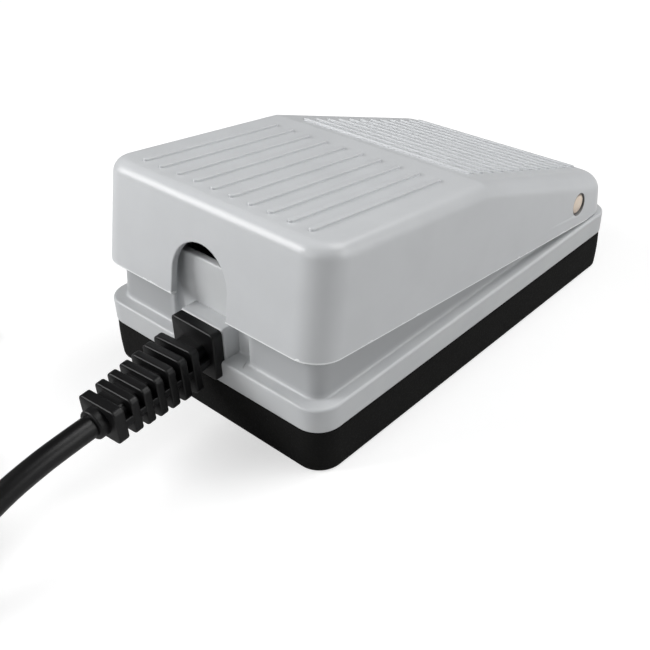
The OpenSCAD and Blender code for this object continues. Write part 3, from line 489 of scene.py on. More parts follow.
# %% [markdown]
# The commonest solid is a slab: a rounded rectangle with its upper and lower edges rounded too. On
# each edge the outline is pulled in by e (1 - cos t) while the height changes by e (1 - sin t). The
# lathe does the same for round parts, from a list of radii and heights.

# %% Slabs, turned parts and how to turn them
def slab(half_w, y0, y1, r, z0, z1, top_e, low_e=0.0, steps=4, corner_steps=8):
    """Rings of a rounded slab between two heights."""
    rings = []

    def ring_at(inset, z):
        rings.append(at_height(outline(
            half_w - inset, y0 + inset, y1 - inset, max(r - inset, least_r), steps=corner_steps)[0], z))

    for rise, inset in quarter(low_e, steps) if low_e else [(0, 0)]:
        ring_at(inset, z0 + rise)
    off = min(guard, 0.3 * (z1 - z0 - top_e - low_e))
    ring_at(0, z0 + low_e + off)
    ring_at(0, z1 - top_e - off)
    for inset, drop in quarter(top_e, steps):
        ring_at(inset, z1 - drop)
    return skin(rings)


def bar(w, h, r, z0, z1, top_e, low_e=0.0):
    """A slab of this width and height around its own axis."""
    return slab(w / 2, -h / 2, h / 2, r, z0, z1, top_e, low_e)


def turned_part(profile, steps=48, ends="flat"):
    """Rings around the Z axis through [radius, height] points, listed from the bottom up."""
    a = np.arange(steps) * 2 * np.pi / steps
    circle = np.stack([np.cos(a), np.sin(a)], -1)
    return skin([at_height(radius * circle, z) for radius, z in profile], ends)


def rod(radius, z0, z1, e):
    """A turned rod with a rounded edge at each end."""
    low = [[radius - inset, z0 + rise] for rise, inset in quarter(e, 4)]
    return turned_part(low + [[radius - inset, z1 - drop] for inset, drop in quarter(e, 4)])


def sleeve(outer, inner, z0, z1, e=0.15, steps=48):
    """A turned tube with small chamfers."""
    return turned_part([
        [inner + e, z0], [outer - e, z0], [outer, z0 + e], [outer, z1 - e], [outer - e, z1], [inner + e, z1],
        [inner, z1 - e], [inner, z0 + e],
    ], steps, "loop")


def moved(shell, shift):
    points, faces = shell
    return points + np.array(shift, float), faces


def aimed(shell, along, side, shift=(0, 0, 0)):
    """Turns a shell so that its Z axis runs along one direction and its X axis along another."""
    points, faces = shell
    along, side = np.array(along, float), np.array(side, float)
    axes = np.stack([side, np.cross(along, side), along])
    return points @ axes + np.array(shift, float), faces


def on_pin(shell, s=1, reach=0):
    """Lays a turned shell along the hinge pin's axis, on one side of the middle."""
    return aimed(shell, [s, 0, 0], [0, 1, 0], [s * reach, pivot_y, pivot_z])


def facing_lead(shell, y, z):
    """Stands a slab on its edge, so that it grows towards the lead's end."""
    return aimed(shell, [0, -1, 0], [1, 0, 0], [0, y, z])


def raised(points, tilt):
    """Points turned about the hinge pin's axis, so that the lead's end rises by the tilt in degrees."""
    y, z = points[:, 1] - pivot_y, points[:, 2] - pivot_z
    c, s = np.cos(np.radians(tilt)), np.sin(np.radians(tilt))
    return np.stack([points[:, 0], pivot_y + y * c + z * s, pivot_z - y * s + z * c], -1)


# %% [markdown]
# The foam pad carries everything. It is a cushion of a kind, so it is one closed form whose sides
# bulge a little between a pulled-in top and bottom edge, where the weight presses the sheet.

# %% Foam pad
pad_r, pad_bulge, pad_edge = 5.5, 0.22, 0.5


def foam_block():
    """The outline is pulled in by the bulge times (2 z / h - 1) squared, and by a small round at both edges."""
    rings = []
    heights = np.concatenate([
        pad_edge * (1 - np.cos(angles(0, 90, 4))), np.linspace(pad_edge, pad_top - pad_edge, 9)[1:-1],
        pad_top - pad_edge * (1 - np.cos(angles(90, 0, 4))),
    ])
    for z in heights:
        near = min(z, pad_top - z)
        edge = pad_edge - np.sqrt(max(pad_edge ** 2 - max(pad_edge - near, 0) ** 2, 0))
        inset = pad_bulge * (2 * z / pad_top - 1) ** 2 + edge
        rings.append(at_height(outline(base_half - inset, front_y + inset, rear_y - inset, pad_r - inset)[0], z))
    return skin(rings)


pad = piece("pad", [foam_block()], "base", "foam", ["foam_pad"])

# %% [markdown]
# The base is one moulding: a rim on the pad, a ledge, and an upright wall that leans in a little and
# follows the pressed cover down towards the hinge. Its lead end steps back in a recess behind the
# arch. All its rings have the same points, so one loft goes up the outside, over the wall and down
# the inside to the floor. The recess is only a few more points on each ring, moved back.

# %% Sizes of the cover and the base
rim_top = pad_top + 5.5
floor_top = pad_top + 2.0
cover_inset, cover_foot = 0.6, rim_top + 0.8
cover_half, cover_front, cover_rear = base_half - cover_inset, front_y + cover_inset, rear_y - cover_inset
front_top, ridge_top, rear_top = cover_foot + 22.7, cover_foot + 21.9, cover_foot + 9.4
ridge_y = front_y + 51.8
cover_t, cover_top_t, cover_r, edge_r, heel_r = 1.5, 2.2, 6.5, 3.2, 4.5
side_lean, front_lean, rear_lean = 0.6, 1.8, 0.4
top_front, top_rear = cover_front + front_lean, cover_rear - rear_lean
front_slope = (ridge_top - front_top) / (ridge_y - top_front - edge_r)
rear_slope = (rear_top - ridge_top) / (top_rear - ridge_y)
rest_tilt, press_tilt = 5.5, 5.0
heel_gap, sink = 0.4, 1.0
eye_r, eye_depth, eye_e, pin_r = 2.8, 0.8, 0.25, 2.5


def panel_z(y):
    """Height of the level cover's top: one plane up to the ridge and a steeper one behind it."""
    return np.where(y < ridge_y, ridge_top + front_slope * (y - ridge_y), ridge_top + rear_slope * (y - ridge_y))


wall_t, wall_r, wall_top_r, wall_drop = 2.0, 3.2, 5.0, 3.0
wall_half = cover_half - side_lean - cover_t - 0.3
wall_rear = cover_rear - cover_t - 2.4
wall_front, wall_foot = -50.9, -52.0
recess_half, recess_y, recess_r = 11.0, wall_foot + 2.0, 1.6
recess_back, recess_side = recess_y + wall_t, 1.5


def under_panel(y):
    """Height of the level cover's inner face."""
    return panel_z(y) - cover_top_t


def wall_z(y):
    return under_panel(y) - wall_drop


# %% [markdown]
# The cover, the pin and the base carry painted shade, and the cover a painted highlight, whose places follow the
# sizes above.

# %% Painted shade and highlight on the base, the cover and the pin
def from_pin(finish):
    """Distance from the pin's axis in millimetres: the square root of y^2 + z^2 about it."""
    flat = finish.node("ShaderNodeMapping", {}, {
        "Vector": finish.place, "Location": (0, -pivot_y, -pivot_z), "Scale": (0, 1 / MM, 1 / MM),
    })
    return finish.node("ShaderNodeVectorMath", {"operation": "LENGTH"}, [flat], "Value")


def painted_edge_highlight_and_eye_shade(finish, tone):
    """A painted highlight, pale and uneven, along the lower edge, and painted shade in the eye round the pin.
    With the cover raised by a, the height over that edge is (z - pz) cos a + (y - py) sin a + pz - foot."""
    a = np.radians(rest_tilt)
    y, z = finish.axis("Y") - pivot_y, finish.axis("Z") - pivot_z
    height = z * np.cos(a) + y * np.sin(a) + (pivot_z - cover_foot)
    nicks = finish.noise(2.2, 2.0).step(0.55, 0.75)
    edge = 1 - (height - nicks * 0.3).step(0.38, 0.6)
    # painted highlight: near white along the cover's lower edge
    lined = finish.blend(edge, tone, "#fafcfd")
    # painted shade: the cover darkened inside the eye round the pin
    return finish.blend((1 - from_pin(finish).step(eye_r - 0.05, eye_r + 0.15)) * 0.8, lined, "#4a4744")


def painted_pin_rim_shade(finish, tone):
    """Painted shade: warm steel that darkens towards its rim, where the gap of the eye shades it."""
    # painted shade at the pin's rim
    return finish.blend(from_pin(finish).step(pin_r - 0.6, pin_r) * 0.7, tone, "#5a5148")


def painted_wall_shade(finish, tone):
    """Painted shade on the upright wall beside the recess, where the cover above it shades it."""
    beside = finish.node("ShaderNodeMath", {"operation": "ABSOLUTE"}, [finish.axis("X")])
    above = finish.axis("Z").step(rim_top - 0.1, rim_top + 1.5)
    # painted shade: the wall darkened to a deeper grey where the cover overhangs it
    return finish.blend(above * beside.step(recess_half - 0.5, recess_half + 2), tone, "#adafb1")


# The base's wall and the pin's rim get painted shade, and the cover gets a painted highlight on its lower edge and
# painted shade in its eyes.
moulded("base_plastic", "#cacccd", "#c6c8ca", 0.38, 0.4, 0.004, painted_wall_shade)
moulded("cover_plastic", "#ced0d2", "#cbcdcf", 0.33, 0.5, 0.003, painted_edge_highlight_and_eye_shade)
metal("steel_pin", "#fdeedd", "#f0dfcd", 0.45, marks=painted_pin_rim_shade, metallic=0.5)
print("marks made")

# %% Base shell
def notched(half_w, y0, y1, r, deep_half, deep_y, deep_r, lip=1.2):
    """An outline whose lead end has a step back of round corners: it starts in the middle of the step.
    Its inner corner takes at most 0.55 of the step's depth and its outer corner 0.4. Where there is no
    step, the same number of points lie in line with that end."""
    a, b = angles(90, 0, 6), angles(180, 270, 5)
    depth = deep_y - y0
    inner, outer = (min(deep_r, 0.55 * depth), min(lip, 0.4 * depth)) if depth > 0 else (deep_r, lip)
    step_x = np.concatenate([[deep_half - inner - guard], deep_half - inner + inner * np.cos(a),
                             deep_half + outer + outer * np.cos(b)])
    step_y = np.concatenate([[deep_y], deep_y - inner + inner * np.sin(a), y0 + outer + outer * np.sin(b)])
    if depth <= 0:
        step_x, step_y = np.linspace(step_x[0], step_x[-1], len(step_x)), np.full(len(step_x), y0)
    rest = outline(half_w, y0, y1, r, wall_stations)[0][:half_count]
    return mirrored(np.concatenate([np.stack([step_x, step_y], -1), rest]))


wall_stations = [ridge_y - guard, ridge_y, ridge_y + guard]
half_count = len(outline(1, 0, 4, 0.5, wall_stations)[0]) // 2
rim_e, rim_low_e, foot_e, lip_e = 0.55, 0.25, 0.5, 0.45
inner_corner, least_corner = 0.6, 0.4


def base_shell():
    """Rings up the rim, across the ledge, up the wall, over its top and down its inside to the floor.
    Where the wall leans, its lead end moves back in proportion to the height above the foot."""
    rings = []

    def rim_ring(inset, z):
        flat = notched(base_half - inset, front_y + inset, rear_y - inset, pad_r - inset, recess_half, front_y, 1.0)
        rings.append(at_height(flat, z))

    def wall_ring(inset, share, drop, inner=False):
        """A ring of the wall at a share of its height, less a drop, pulled in by an inset."""
        lead_y = wall_foot + (wall_front - wall_foot) * share + inset
        deep = recess_back - max(wall_t - inset, 0) if inner else recess_y + inset
        width = recess_half + recess_side if inner else recess_half + inset
        radius = inner_corner if inner else max(recess_r - inset, least_corner)
        corner = wall_r + (wall_top_r - wall_r) * share - inset
        flat = notched(wall_half - inset, lead_y, wall_rear - inset, max(corner, least_corner), width, deep, radius)
        low = floor_top if inner else rim_top
        rings.append(at_height(flat, low + (wall_z(flat[:, 1]) - low) * share - drop))

    for rise, inset in quarter(rim_low_e, 3):
        rim_ring(inset, pad_top + rise)
    rim_ring(0, pad_top + guard * 2)
    rim_ring(0, rim_top - rim_e - guard)
    for inset, drop in quarter(rim_e, 6):
        rim_ring(inset, rim_top - drop)
    rim_ring(rim_e + guard, rim_top)
    wall_ring(-foot_e - guard, 0, 0)
    for rise, spread in quarter(foot_e, 4):
        wall_ring(-spread, 0, -rise)
    for share in np.linspace(0, 1, 6)[1:-1]:
        wall_ring(0, share, 0)
    for inset, drop in quarter(lip_e, 4):
        wall_ring(inset, 1, drop)
    for inset, drop in quarter(lip_e, 4)[::-1]:
        wall_ring(wall_t - inset, 1, drop, inner=True)
    wall_ring(wall_t, 0.5, 0, inner=True)
    wall_ring(wall_t, 0, 0, inner=True)
    return skin(rings)


# %% [markdown]
# Inside stand the parts that hold everything else: two lugs for the pin, the block that grips the
# strain relief, posts for the board, seats for the springs, a saddle for the lead and a bracket for
# the switch. Each is a rounded slab or a turned post whose foot is sunk in the floor.

# %% What stands on the base
bore_r, lug_r, lug_t, lug_inset = 2.55, 3.95, 2.1, 3.5
block_half, block_front, block_top = 6.4, front_y + 0.9, rim_top + 7.1
spring_x, spring_y, seat_top = 18.0, front_y + 20.0, floor_top + 7.0
seat_r, spring_post_r, spring_post_h = 5.5, 2.45, 4.0
ledge_half, ledge_end, ledge_low, ledge_high = 3.3, -45.09, 26.0, 28.2
board_posts, board_post_r, board_post_h = [(x, y) for x in (-8.5, 8.5) for y in (-37.29, -20.29)], 2.3, 2.5
bumper_x, bumper_y, bumper_post_r = 24.6, -20.0, 2.8
clamp_y, clamp_half, clamp_half_l = -44.29, 9.5, 1.9
switch_y, switch_low = 0.11, floor_top + 2.0
bracket_half, bracket_half_l, bracket_h, bracket_t = 7.25, 14.9, 15.9, 2.0


def block(x, half_w, y0, y1, z0, z1, e=0.2):
    """A slab as far to each side of x as its half width."""
    return moved(slab(half_w, y0, y1, e + 0.05, z0, z1, e, steps=2, corner_steps=3), [x, 0, 0])


def base_fittings():
    sunk, bumper_foot = floor_top - sink, box_mm("stop_bumpers")[0][2]
    front, rear = switch_y - bracket_half_l, switch_y + bracket_half_l

    def post(x, y, radius, top, e):
        return moved(rod(radius, sunk, top, e), [x, y, 0])

    parts = []
    for s in (-1, 1):
        x = s * spring_x
        parts += [
            on_pin(sleeve(lug_r, bore_r, 0, lug_t, steps=64), s, wall_half - lug_inset),
            post(x, spring_y, seat_r, seat_top, 0.3),
            post(x, spring_y, spring_post_r, seat_top + spring_post_h, 0.6),
            post(s * bumper_x, bumper_y, bumper_post_r, bumper_foot, 0.1),
            block(x, ledge_half, wall_foot + sink, ledge_end, ledge_low, ledge_high),
        ]
    parts += [post(x, y, board_post_r, floor_top + board_post_h, 0.15) for x, y in board_posts]
    return parts + [
        block(0, clamp_half, clamp_y - clamp_half_l, clamp_y + clamp_half_l, sunk, relief_z - 0.2),
        block(bracket_t / 2 - bracket_half, bracket_t / 2, front, rear, sunk, floor_top + bracket_h),
        block(0, bracket_half, front, front + bracket_t, sunk, switch_low),
        block(0, bracket_half, rear - bracket_t, rear, sunk, switch_low),
    ]


def gland_block():
    """The block in the recess that the strain relief goes through, with round edges at its top."""
    return slab(block_half, block_front, recess_y + sink, 0.8, pad_top + sink, block_top, 0.6, steps=5)


piece("base", [base_shell(), gland_block(), *base_fittings()], "base", "base_plastic", ["base_housing"])

# %% [markdown]
# The cover is a thin shell. One function gives a skin of it: the outline at its foot and at its head,
# straight walls between, then a rounded edge that runs over onto the two panels. The same function
# with the thickness taken off gives the inside, and the two are joined around the lower edge. It is
# drawn level and then turned about the pin to its raised rest.

# %% Cover
cover_stations = [-20.0, ridge_y - guard, ridge_y, ridge_y + guard, 20.0, pivot_y, 43.6, 44.2]
wall_shares, lower_e = (0.02, 0.25, 0.5, 0.75, 0.97), 0.4


def lower_edge(y):
    """Height of the cover's lower edge: level, but cut back over the hinge end to clear the rim at rest."""
    tilt = np.radians(rest_tilt)
    clear = pivot_z + (rim_top + heel_gap - pivot_z + (y - pivot_y) * np.sin(tilt)) / np.cos(tilt)
    return np.where(y > pivot_y, np.maximum(cover_foot, clear), cover_foot)


def cover_skin(side_in, top_in, outer):
    """Rings from the lower edge to the panels. The wall runs from the foot outline to the head outline.
    The edge's radius e grows from the ridge to the heel, and along it the outline is pulled in by
    e (1 - cos t) and hangs e (1 - sin t) under the panel, so it meets the panel's own slope."""
    foot, normal = outline(cover_half - side_in, cover_front + side_in, cover_rear - side_in,
                           cover_r - side_in, cover_stations, 14)
    head = outline(cover_half - side_lean - side_in, top_front + side_in, top_rear - side_in,
                   cover_r - side_in, cover_stations, 14)[0]
    share = np.clip((head[:, 1] - ridge_y) / (top_rear - cover_r - ridge_y), 0, 1)
    e = edge_r + (heel_r - edge_r) * share - side_in
    low, high = lower_edge(foot[:, 1]), panel_z(head[:, 1]) - top_in - e
    rings = []

    def wall_ring(z, inset=0.0):
        lean = ((z - cover_foot) / (high - cover_foot))[:, None]
        rings.append(np.column_stack([foot + (head - foot) * lean - normal * inset, z]))

    def edge_ring(inset, drop):
        flat = head - normal * inset[:, None]
        rings.append(np.column_stack([flat, panel_z(flat[:, 1]) - top_in - drop]))

    if outer:
        for rise, inset in quarter(lower_e, 5):
            wall_ring(low + rise, inset)
        low = low + lower_e
    else:
        wall_ring(low)
    for share in wall_shares:
        wall_ring(low + (high - low) * share)
    for inset, drop in quarter(e, 10):
        edge_ring(inset, drop)
    edge_ring(e + guard, 0 * e)
    return rings


def at_rest(shell):
    """A shell of the level cover, turned up to its rest."""
    points, faces = shell
    return raised(points, rest_tilt), faces


cover_shell = skin(cover_skin(cover_t, cover_top_t, False)[::-1] + cover_skin(0.0, 0.0, True), "ladder")
cover = piece("cover", [at_rest(cover_shell)], "pedal", "cover_plastic", ["pedal_cover"])

# %% [markdown]
# Three holes are cut in it: an arch for the lead, and an eye with a bore at each end of the pin. Real
# cut-outs have a small round at their edges, so each cutter is a spool that flares by that much
# where it leaves the wall. The arch's cutter leans as the wall does.

# %% Arch and pin eyes
arch_half, arch_side, arch_e = 8.0, 5.7, 0.3
pin_gap, bore_l, overrun = 0.02, 6.0, 2.0


def flare(depth, thickness, e):
    """How far a cutter spreads at a depth below the outer face: a quarter round at both faces."""
    near = np.clip(1 - np.minimum(depth, thickness - depth) / e, 0, 1)
    return e * (1 - np.sqrt(1 - near ** 2))


def arch_cutter():
    """Arches of half circles on straight legs, one for each depth, each spread by the flare."""
    a = np.pi - angles(180, 0, 40)
    depths = np.concatenate([[-overrun / 2], arch_e * (1 - np.cos(angles(0, 90, 4))),
                             cover_t - arch_e * (1 - np.cos(angles(90, 0, 4))), [cover_t + overrun]])
    rings = []
    for depth in depths:
        radius = arch_half + flare(depth, cover_t, arch_e)
        x = np.concatenate([[-radius], -radius * np.cos(a), [radius]])
        z = cover_foot + np.concatenate([[-overrun], arch_side + radius * np.sin(a), [-overrun]])
        lean = front_lean * (z - cover_foot) / (front_top - edge_r - cover_foot)
        rings.append(np.stack([x, cover_front + depth + lean, z], -1))
    return skin(rings)


def eye_cutter(s):
    """A turned spool: the bore for the pin, then the wider eye with a rounded rim at the cover's face."""
    face = cover_half - side_lean * (pivot_z - cover_foot) / (ridge_top - cover_foot)
    hole_r, seat = pin_r + pin_gap, face - eye_depth
    rim = [[eye_r + spread, face - drop] for spread, drop in quarter(eye_e, 4)]
    profile = [[hole_r, face - bore_l], [hole_r, seat], [eye_r, seat], *rim, [eye_r + eye_e, face + overrun]]
    return on_pin(turned_part(profile, 64), s)


carve(cover, [at_rest(arch_cutter()), eye_cutter(-1), eye_cutter(1)])

# %% [markdown]
# The grip ribs are moulded bars with round ends and a soft top. Ten run lengthwise on the front panel
# and twelve across the sloping one. They are slabs sunk in the panel and turned to its slope. What
# hangs under the cover is here too: spring cups, stop hooks and the post that works the switch.

# %% Grip ribs and what hangs from the cover
rib_half, rib_h, rib_e, rib_root = 0.65, 0.5, 0.2, 0.6
long_ribs, long_pitch, long_len, long_y = 10, 5.18, 38.4, ridge_y - 25.3
cross_ribs, cross_pitch, cross_len, cross_y = 12, 4.25, 48.8, ridge_y + 4.6
cup_outer, cup_inner, cup_h, cup_y = 5.3, 4.3, 4.0, -36.29
hook_half, hook_t, hook_y, toe_l, toe_h, toe_top = 3.0, 1.8, wall_foot + 7.6, 2.4, 2.2, 17.69
post_r, post_y, post_z = 2.2, 4.21, pivot_z + 11.3


def on_panel(shell, x, y, slope):
    """Stands a shell on a panel of the level cover, turned to its slope, and raises it to rest."""
    points, faces = shell
    c = 1 / np.hypot(1, slope)
    s = slope * c
    spot = np.stack([x + points[:, 0], y + points[:, 1] * c - points[:, 2] * s,
                     panel_z(y) + points[:, 1] * s + points[:, 2] * c], -1)
    return at_rest((spot, faces))


def grip_ribs():
    def rib(half_x, half_y):
        return slab(half_x, -half_y, half_y, rib_half - least_r, -rib_root, rib_h, rib_e, steps=5)

    parts = []
    for k in range(long_ribs):
        x = (k - (long_ribs - 1) / 2) * long_pitch
        parts.append(on_panel(rib(rib_half, long_len / 2), x, long_y, front_slope))
    for k in range(cross_ribs):
        parts.append(on_panel(rib(cross_len / 2, rib_half), 0, cross_y + k * cross_pitch, rear_slope))
    return parts


def cover_fittings():
    parts, toe_low = [], toe_top - toe_h
    for x in (-spring_x, spring_x):
        under = under_panel(cup_y)
        parts += [
            moved(sleeve(cup_outer, cup_inner, under - cup_h, under + sink), [x, cup_y, 0]),
            block(x, hook_half, hook_y, hook_y + hook_t, toe_low, under_panel(hook_y) + sink),
            block(x, hook_half, hook_y - toe_l, hook_y + hook_t / 2, toe_low, toe_top),
        ]
    tip = [[post_r * np.sin(t), post_z - post_r * np.cos(t)] for t in angles(4, 90, 8)]
    parts.append(moved(turned_part(tip + [[post_r, under_panel(post_y) + sink]], 32), [0, post_y, 0]))
    return [at_rest(part) for part in parts]


piece("grip_ribs", grip_ribs(), "pedal", "cover_plastic")
piece("cover_fittings", cover_fittings(), "pedal", "cover_plastic")

# %% [markdown]
# A spring can't shorten on a body that only turns, so the two return springs are drawn as short as
# the pressed pedal leaves them. Their tops lean with the cups, which swing about the pin.

# %% Return springs
def spring_skin(x, turns=6.5, coil_r=3.4, wire_r=0.45, clear=0.15, steps=26, sides=10):
    """A wire of round section wound at a steady pitch. The section at angle t stands on the radius
    (cos t, sin t) and the upright, and the coil leans from its seat to the pressed cup."""
    cup = raised(np.array([[x, cup_y, under_panel(cup_y)]]), rest_tilt - press_tilt)[0]
    t = np.linspace(0, 2 * np.pi * turns, int(turns * steps) + 1)
    share = t / t[-1]
    out = np.stack([np.cos(t), np.sin(t), 0 * t], axis=1)
    low = np.array([x, spring_y, seat_top + wire_r])
    high = np.array([x, cup[1], cup[2] - wire_r - clear])
    middle = low + share[:, None] * (high - low) + coil_r * out
    a = np.linspace(0, 2 * np.pi, sides, endpoint=False)
    section = np.cos(a)[None, :, None] * out[:, None, :] - np.sin(a)[None, :, None] * np.array([0, 0, 1.0])
    return skin(middle[:, None, :] + wire_r * section)


piece("return_springs", [spring_skin(s * spring_x) for s in (-1, 1)], "base", "spring_steel",
      ["return_spring_left", "return_spring_right"])

# %% Hinge pin
def pin_shell(dome_h=0.5):
    """A long rod with a domed end at each side."""
    dome = [[pin_r * np.sin(t), pin_high[0] - dome_h * (1 - np.cos(t))] for t in angles(90, 3, 8)]
    return on_pin(turned_part([[r, -h] for r, h in dome[::-1]] + dome, 64))


piece("pin", [pin_shell()], "pedal", "steel_pin", ["hinge_pin"])

# %% [markdown]
# The strain relief keeps the lead from kinking at the box. It is one black moulding: a flange on the
# block, then a row of plates that shrink towards the lead, joined by a core and a web so that it can
# bend. Each plate is a slab stood on its edge, with the small rounds that catch the light.

# %% Strain relief
flange_w, flange_h, flange_z, flange_t = 12.6, 11.0, 17.0, 2.5
relief_ribs, first_rib, rib_pitch, plate_t, end_t = 6, 5.3, 3.14, 1.9, 2.4
relief_w, relief_h, relief_end_w, relief_end_h = 10.8, 10.4, 10.2, 7.6
core_w, core_h, web_w, web_h, plate_r = 7.2, 6.0, 10.1, 1.5, 1.1
inner_y, inner_w, inner_l, lip_w, lip_h, lip_l = -46.49, 7.6, 9.4, 9.4, 7.8, 1.4
along_up = np.cross(np.cross([0, 0, 1], along_relief), along_relief)
along_up = -along_up / np.linalg.norm(along_up)
across = np.cross(along_up, along_relief)


def stood(shell, from_face):
    """A slab drawn in the relief's own section, moved out along its axis from the flange's face."""
    return aimed(shell, along_relief, across, relief_start + from_face * along_relief)


def relief_shells():
    parts = [
        facing_lead(bar(flange_w, flange_h, 0.9, 0, flange_t, 0.35), block_front, flange_z),
        stood(bar(core_w, core_h, plate_r, -sink, relief_len - sink, 0.1), 0),
        stood(bar(web_w, web_h, 0.2, -sink, relief_len - sink, 0.1), 0),
    ]
    for k in range(relief_ribs + 1):
        share = k / relief_ribs
        face = relief_len if k == relief_ribs else first_rib + k * rib_pitch
        t = end_t if k == relief_ribs else plate_t
        w = relief_w + (relief_end_w - relief_w) * share
        h = relief_h + (relief_end_h - relief_h) * share
        parts.append(stood(bar(w, h, plate_r, 0, t, 0.3, 0.3), face - t))
    return parts + [
        stood(rod(collar_r, -sink, collar_l, 0.35), relief_len),
        facing_lead(bar(inner_w, inner_w, 0.3, 0, inner_l, 0.1), inner_y, relief_z),
        facing_lead(bar(lip_w, lip_h, 0.3, 0, lip_l, 0.2), inner_y, relief_z),
    ]


relief = piece("strain_relief_body", relief_shells(), "base", "relief_plastic", ["strain_relief"])

# %% [markdown]
# The plug waits beside the coil. Its grip is a rounded block with finger grooves and a short neck,
# and its shell is thin bent sheet with two square windows, open at the end over a white tongue.

# %% Plug
shell_w, shell_h, shell_l, shell_t = 12.0, 4.5, 12.0, 0.3
neck_l, neck_r = 6.0, 3.3
window_x, window_half, window_l, window_y = 3.0, 1.1, 2.4, plug_y + grip_l + 5.2


def on_plug(shell, start=0):
    """Lays a shell along the plug, from a start past its tail."""
    return aimed(shell, [0, 1, 0], [-1, 0, 0], [plug_x, plug_y + start, grip_h / 2])


def plug_grip():
    """Rings along the plug: a grip whose sides are pulled in by three cosine grooves, on a turned neck."""
    reach = np.linspace(0, 1, 61)
    groove = 0.35 * np.clip(np.cos(6 * np.pi * (reach - 0.32)), 0, 1) * (np.abs(reach - 0.4) < 0.25)
    end_round = 0.8 * (1 - np.sqrt(1 - np.clip(1 - np.minimum(reach, 1 - reach) * 20 / 0.8, 0, 1) ** 2))
    rings = [
        at_height(outline(grip_w / 2 - inset - cut, -grip_h / 2 + inset, grip_h / 2 - inset, 1.1 - inset * 0.8)[0], z)
        for z, cut, inset in zip(reach * (grip_l - neck_l), groove, end_round)
    ]
    return [on_plug(skin(rings), neck_l), on_plug(rod(neck_r, 0, neck_l + sink, 0.4))]


def plug_shell():
    """A sleeve of sheet: rings around the outside, over the open edge, and back along the inside."""
    start = grip_l - shell_l / 2
    rings = []
    for inset, z in [(0, start), (0, grip_l + shell_l - 0.1), (0.1, grip_l + shell_l), (shell_t, grip_l + shell_l),
                     (shell_t, start)]:
        flat = outline(shell_w / 2 - inset, -shell_h / 2 + inset, shell_h / 2 - inset, 0.6 - inset, steps=5)[0]
        rings.append(at_height(flat, z))
    return on_plug(skin(rings, "loop"))


grip = piece("plug_handle", plug_grip(), "base", "relief_plastic", ["plug_grip"])
shell = piece("plug_sleeve", [plug_shell()], "base", "plug_metal", ["plug_shell"])
carve(shell, [
    block(plug_x + s * window_x, window_half, window_y, window_y + window_l, -overrun, grip_h + overrun, 0.05)
    for s in (-1, 1)
])

# %% The lead's finish and body
lead_curve.materials.append(finishes["lead_jacket"])
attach(lead, "base")
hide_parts("cable_free", "cable_coil", "cable_tail")

# %% [markdown]
# The parts inside keep the CAD model's own shapes. Each needs only its finish, so one table gives
# the node and the material that goes into all its slots.

# %% Finishes of the inner parts
inner_finishes = {
    "stop_bumpers": "bumper_rubber", "microswitch_body": "switch_plastic", "microswitch_lever": "lever_steel",
    "microswitch_plunger": "plunger_plastic", "microswitch_terminals": "contact_brass",
    "microswitch_screws": "screw_steel", "circuit_board": "board_laminate", "board_screws": "screw_steel",
    "controller_chip": "chip_resin", "crystal": "can_metal", "capacitors": "can_metal",
    "lead_connector": "connector_plastic", "lead_wires": "wire_insulation", "switch_wires": "wire_insulation",
    "lead_clamp": "base_plastic", "clamp_screws": "screw_steel", "inner_lead": "lead_jacket",
    "cable_tie": "tie_plastic", "plug_tongue": "tongue_plastic", "plug_contacts": "contact_brass",
}
for node_name, finish in inner_finishes.items():
    for material_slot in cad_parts[node_name].material_slots:
        material_slot.material = finishes[finish]
print(len(inner_finishes), "inner parts finished")

# %% [markdown]
# The floor is plain and pale. It keeps the object's shadow, but to the camera it also glows a little,
# so that it burns out to white where nothing shades it. The world does the same behind it. Lamps stay
# at the level where a colour renders about as it is written.

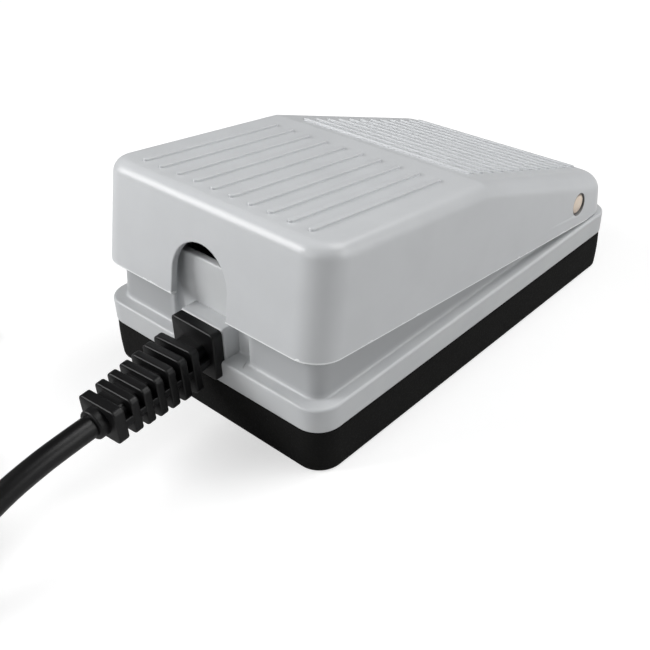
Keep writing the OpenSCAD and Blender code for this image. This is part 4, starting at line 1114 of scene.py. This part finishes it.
# %% Floor and world
def floor_finish():
    """Pale matt floor that adds white for the camera alone, so only the closest shade is left on it.
    The white grows with the distance from the middle, until the floor is as bright as the world."""
    finish = Finish("floor_pale", {
        "Base Color": (0.58, 0.58, 0.58, 1), "Roughness": 0.9, "Specular IOR Level": 0.1,
        "Emission Strength": 1.0,
    })
    seen = finish.node("ShaderNodeLightPath", {}, {}, "Is Camera Ray")
    away = finish.node("ShaderNodeVectorMath", {"operation": "LENGTH"}, [finish.place], "Value")
    glow = finish.blend(away.step(0.4, 1.2), (floor_glow, floor_glow, floor_glow, 1), (1, 1, 1, 1))
    finish.fill(finish.shader.inputs["Emission Color"], finish.blend(seen, (0, 0, 0, 1), glow))
    return finish.material


floor_glow, floor_half = 0.56, 3.0
floor_corners = [(x * floor_half, y * floor_half, 0) for x, y in [(-1, -1), (1, -1), (1, 1), (-1, 1)]]
floor_mesh = bpy.data.meshes.new("floor")
floor_mesh.from_pydata(floor_corners, [], [(0, 1, 2, 3)])
floor_mesh.materials.append(floor_finish())
floor = placed("floor", floor_mesh)

world = bpy.data.worlds.new("studio")
world.use_nodes = True
bpy.context.scene.world = world
sky, world_level, camera_level = Nodes(world.node_tree), 0.06, 1.0
background = sky.tree.nodes["Background"].inputs
rays = [sky.node("ShaderNodeLightPath", {}, {}, name) for name in ("Is Camera Ray", "Is Transmission Ray")]
seen = sky.node("ShaderNodeMath", {"operation": "ADD", "use_clamp": True}, rays)
levels = {"Value": seen, "To Min": world_level, "To Max": camera_level}
sky.fill(background["Strength"], sky.node("ShaderNodeMapRange", {}, levels))
sky.fill(background["Color"], "#ffffff")


# %% Lamps
def softbox(name, direction, size, watts):
    """A square area lamp that looks at the object's middle from a direction."""
    lamp = bpy.data.lights.new(name, "AREA")
    lamp.size, lamp.energy = size, watts
    aim = np.array(direction) / np.linalg.norm(direction)
    side = np.cross([0, 0, 1], aim)
    side /= np.linalg.norm(side)
    face_along(placed(name, lamp), lamp_target + aim * lamp_distance, side, np.cross(aim, side), aim)


lamp_target, lamp_distance = np.array([0, 0, 0.02]), 0.7
softbox("key", (-0.62, -0.62, 0.52), 0.34, 3.6)
softbox("front", (0.0, -0.9, 0.42), 0.42, 1.0)
softbox("side", (0.83, 0.42, 0.37), 0.42, 1.65)
softbox("overhead", (0.24, 0.48, 0.84), 0.42, 2.8)
print("lamps set")
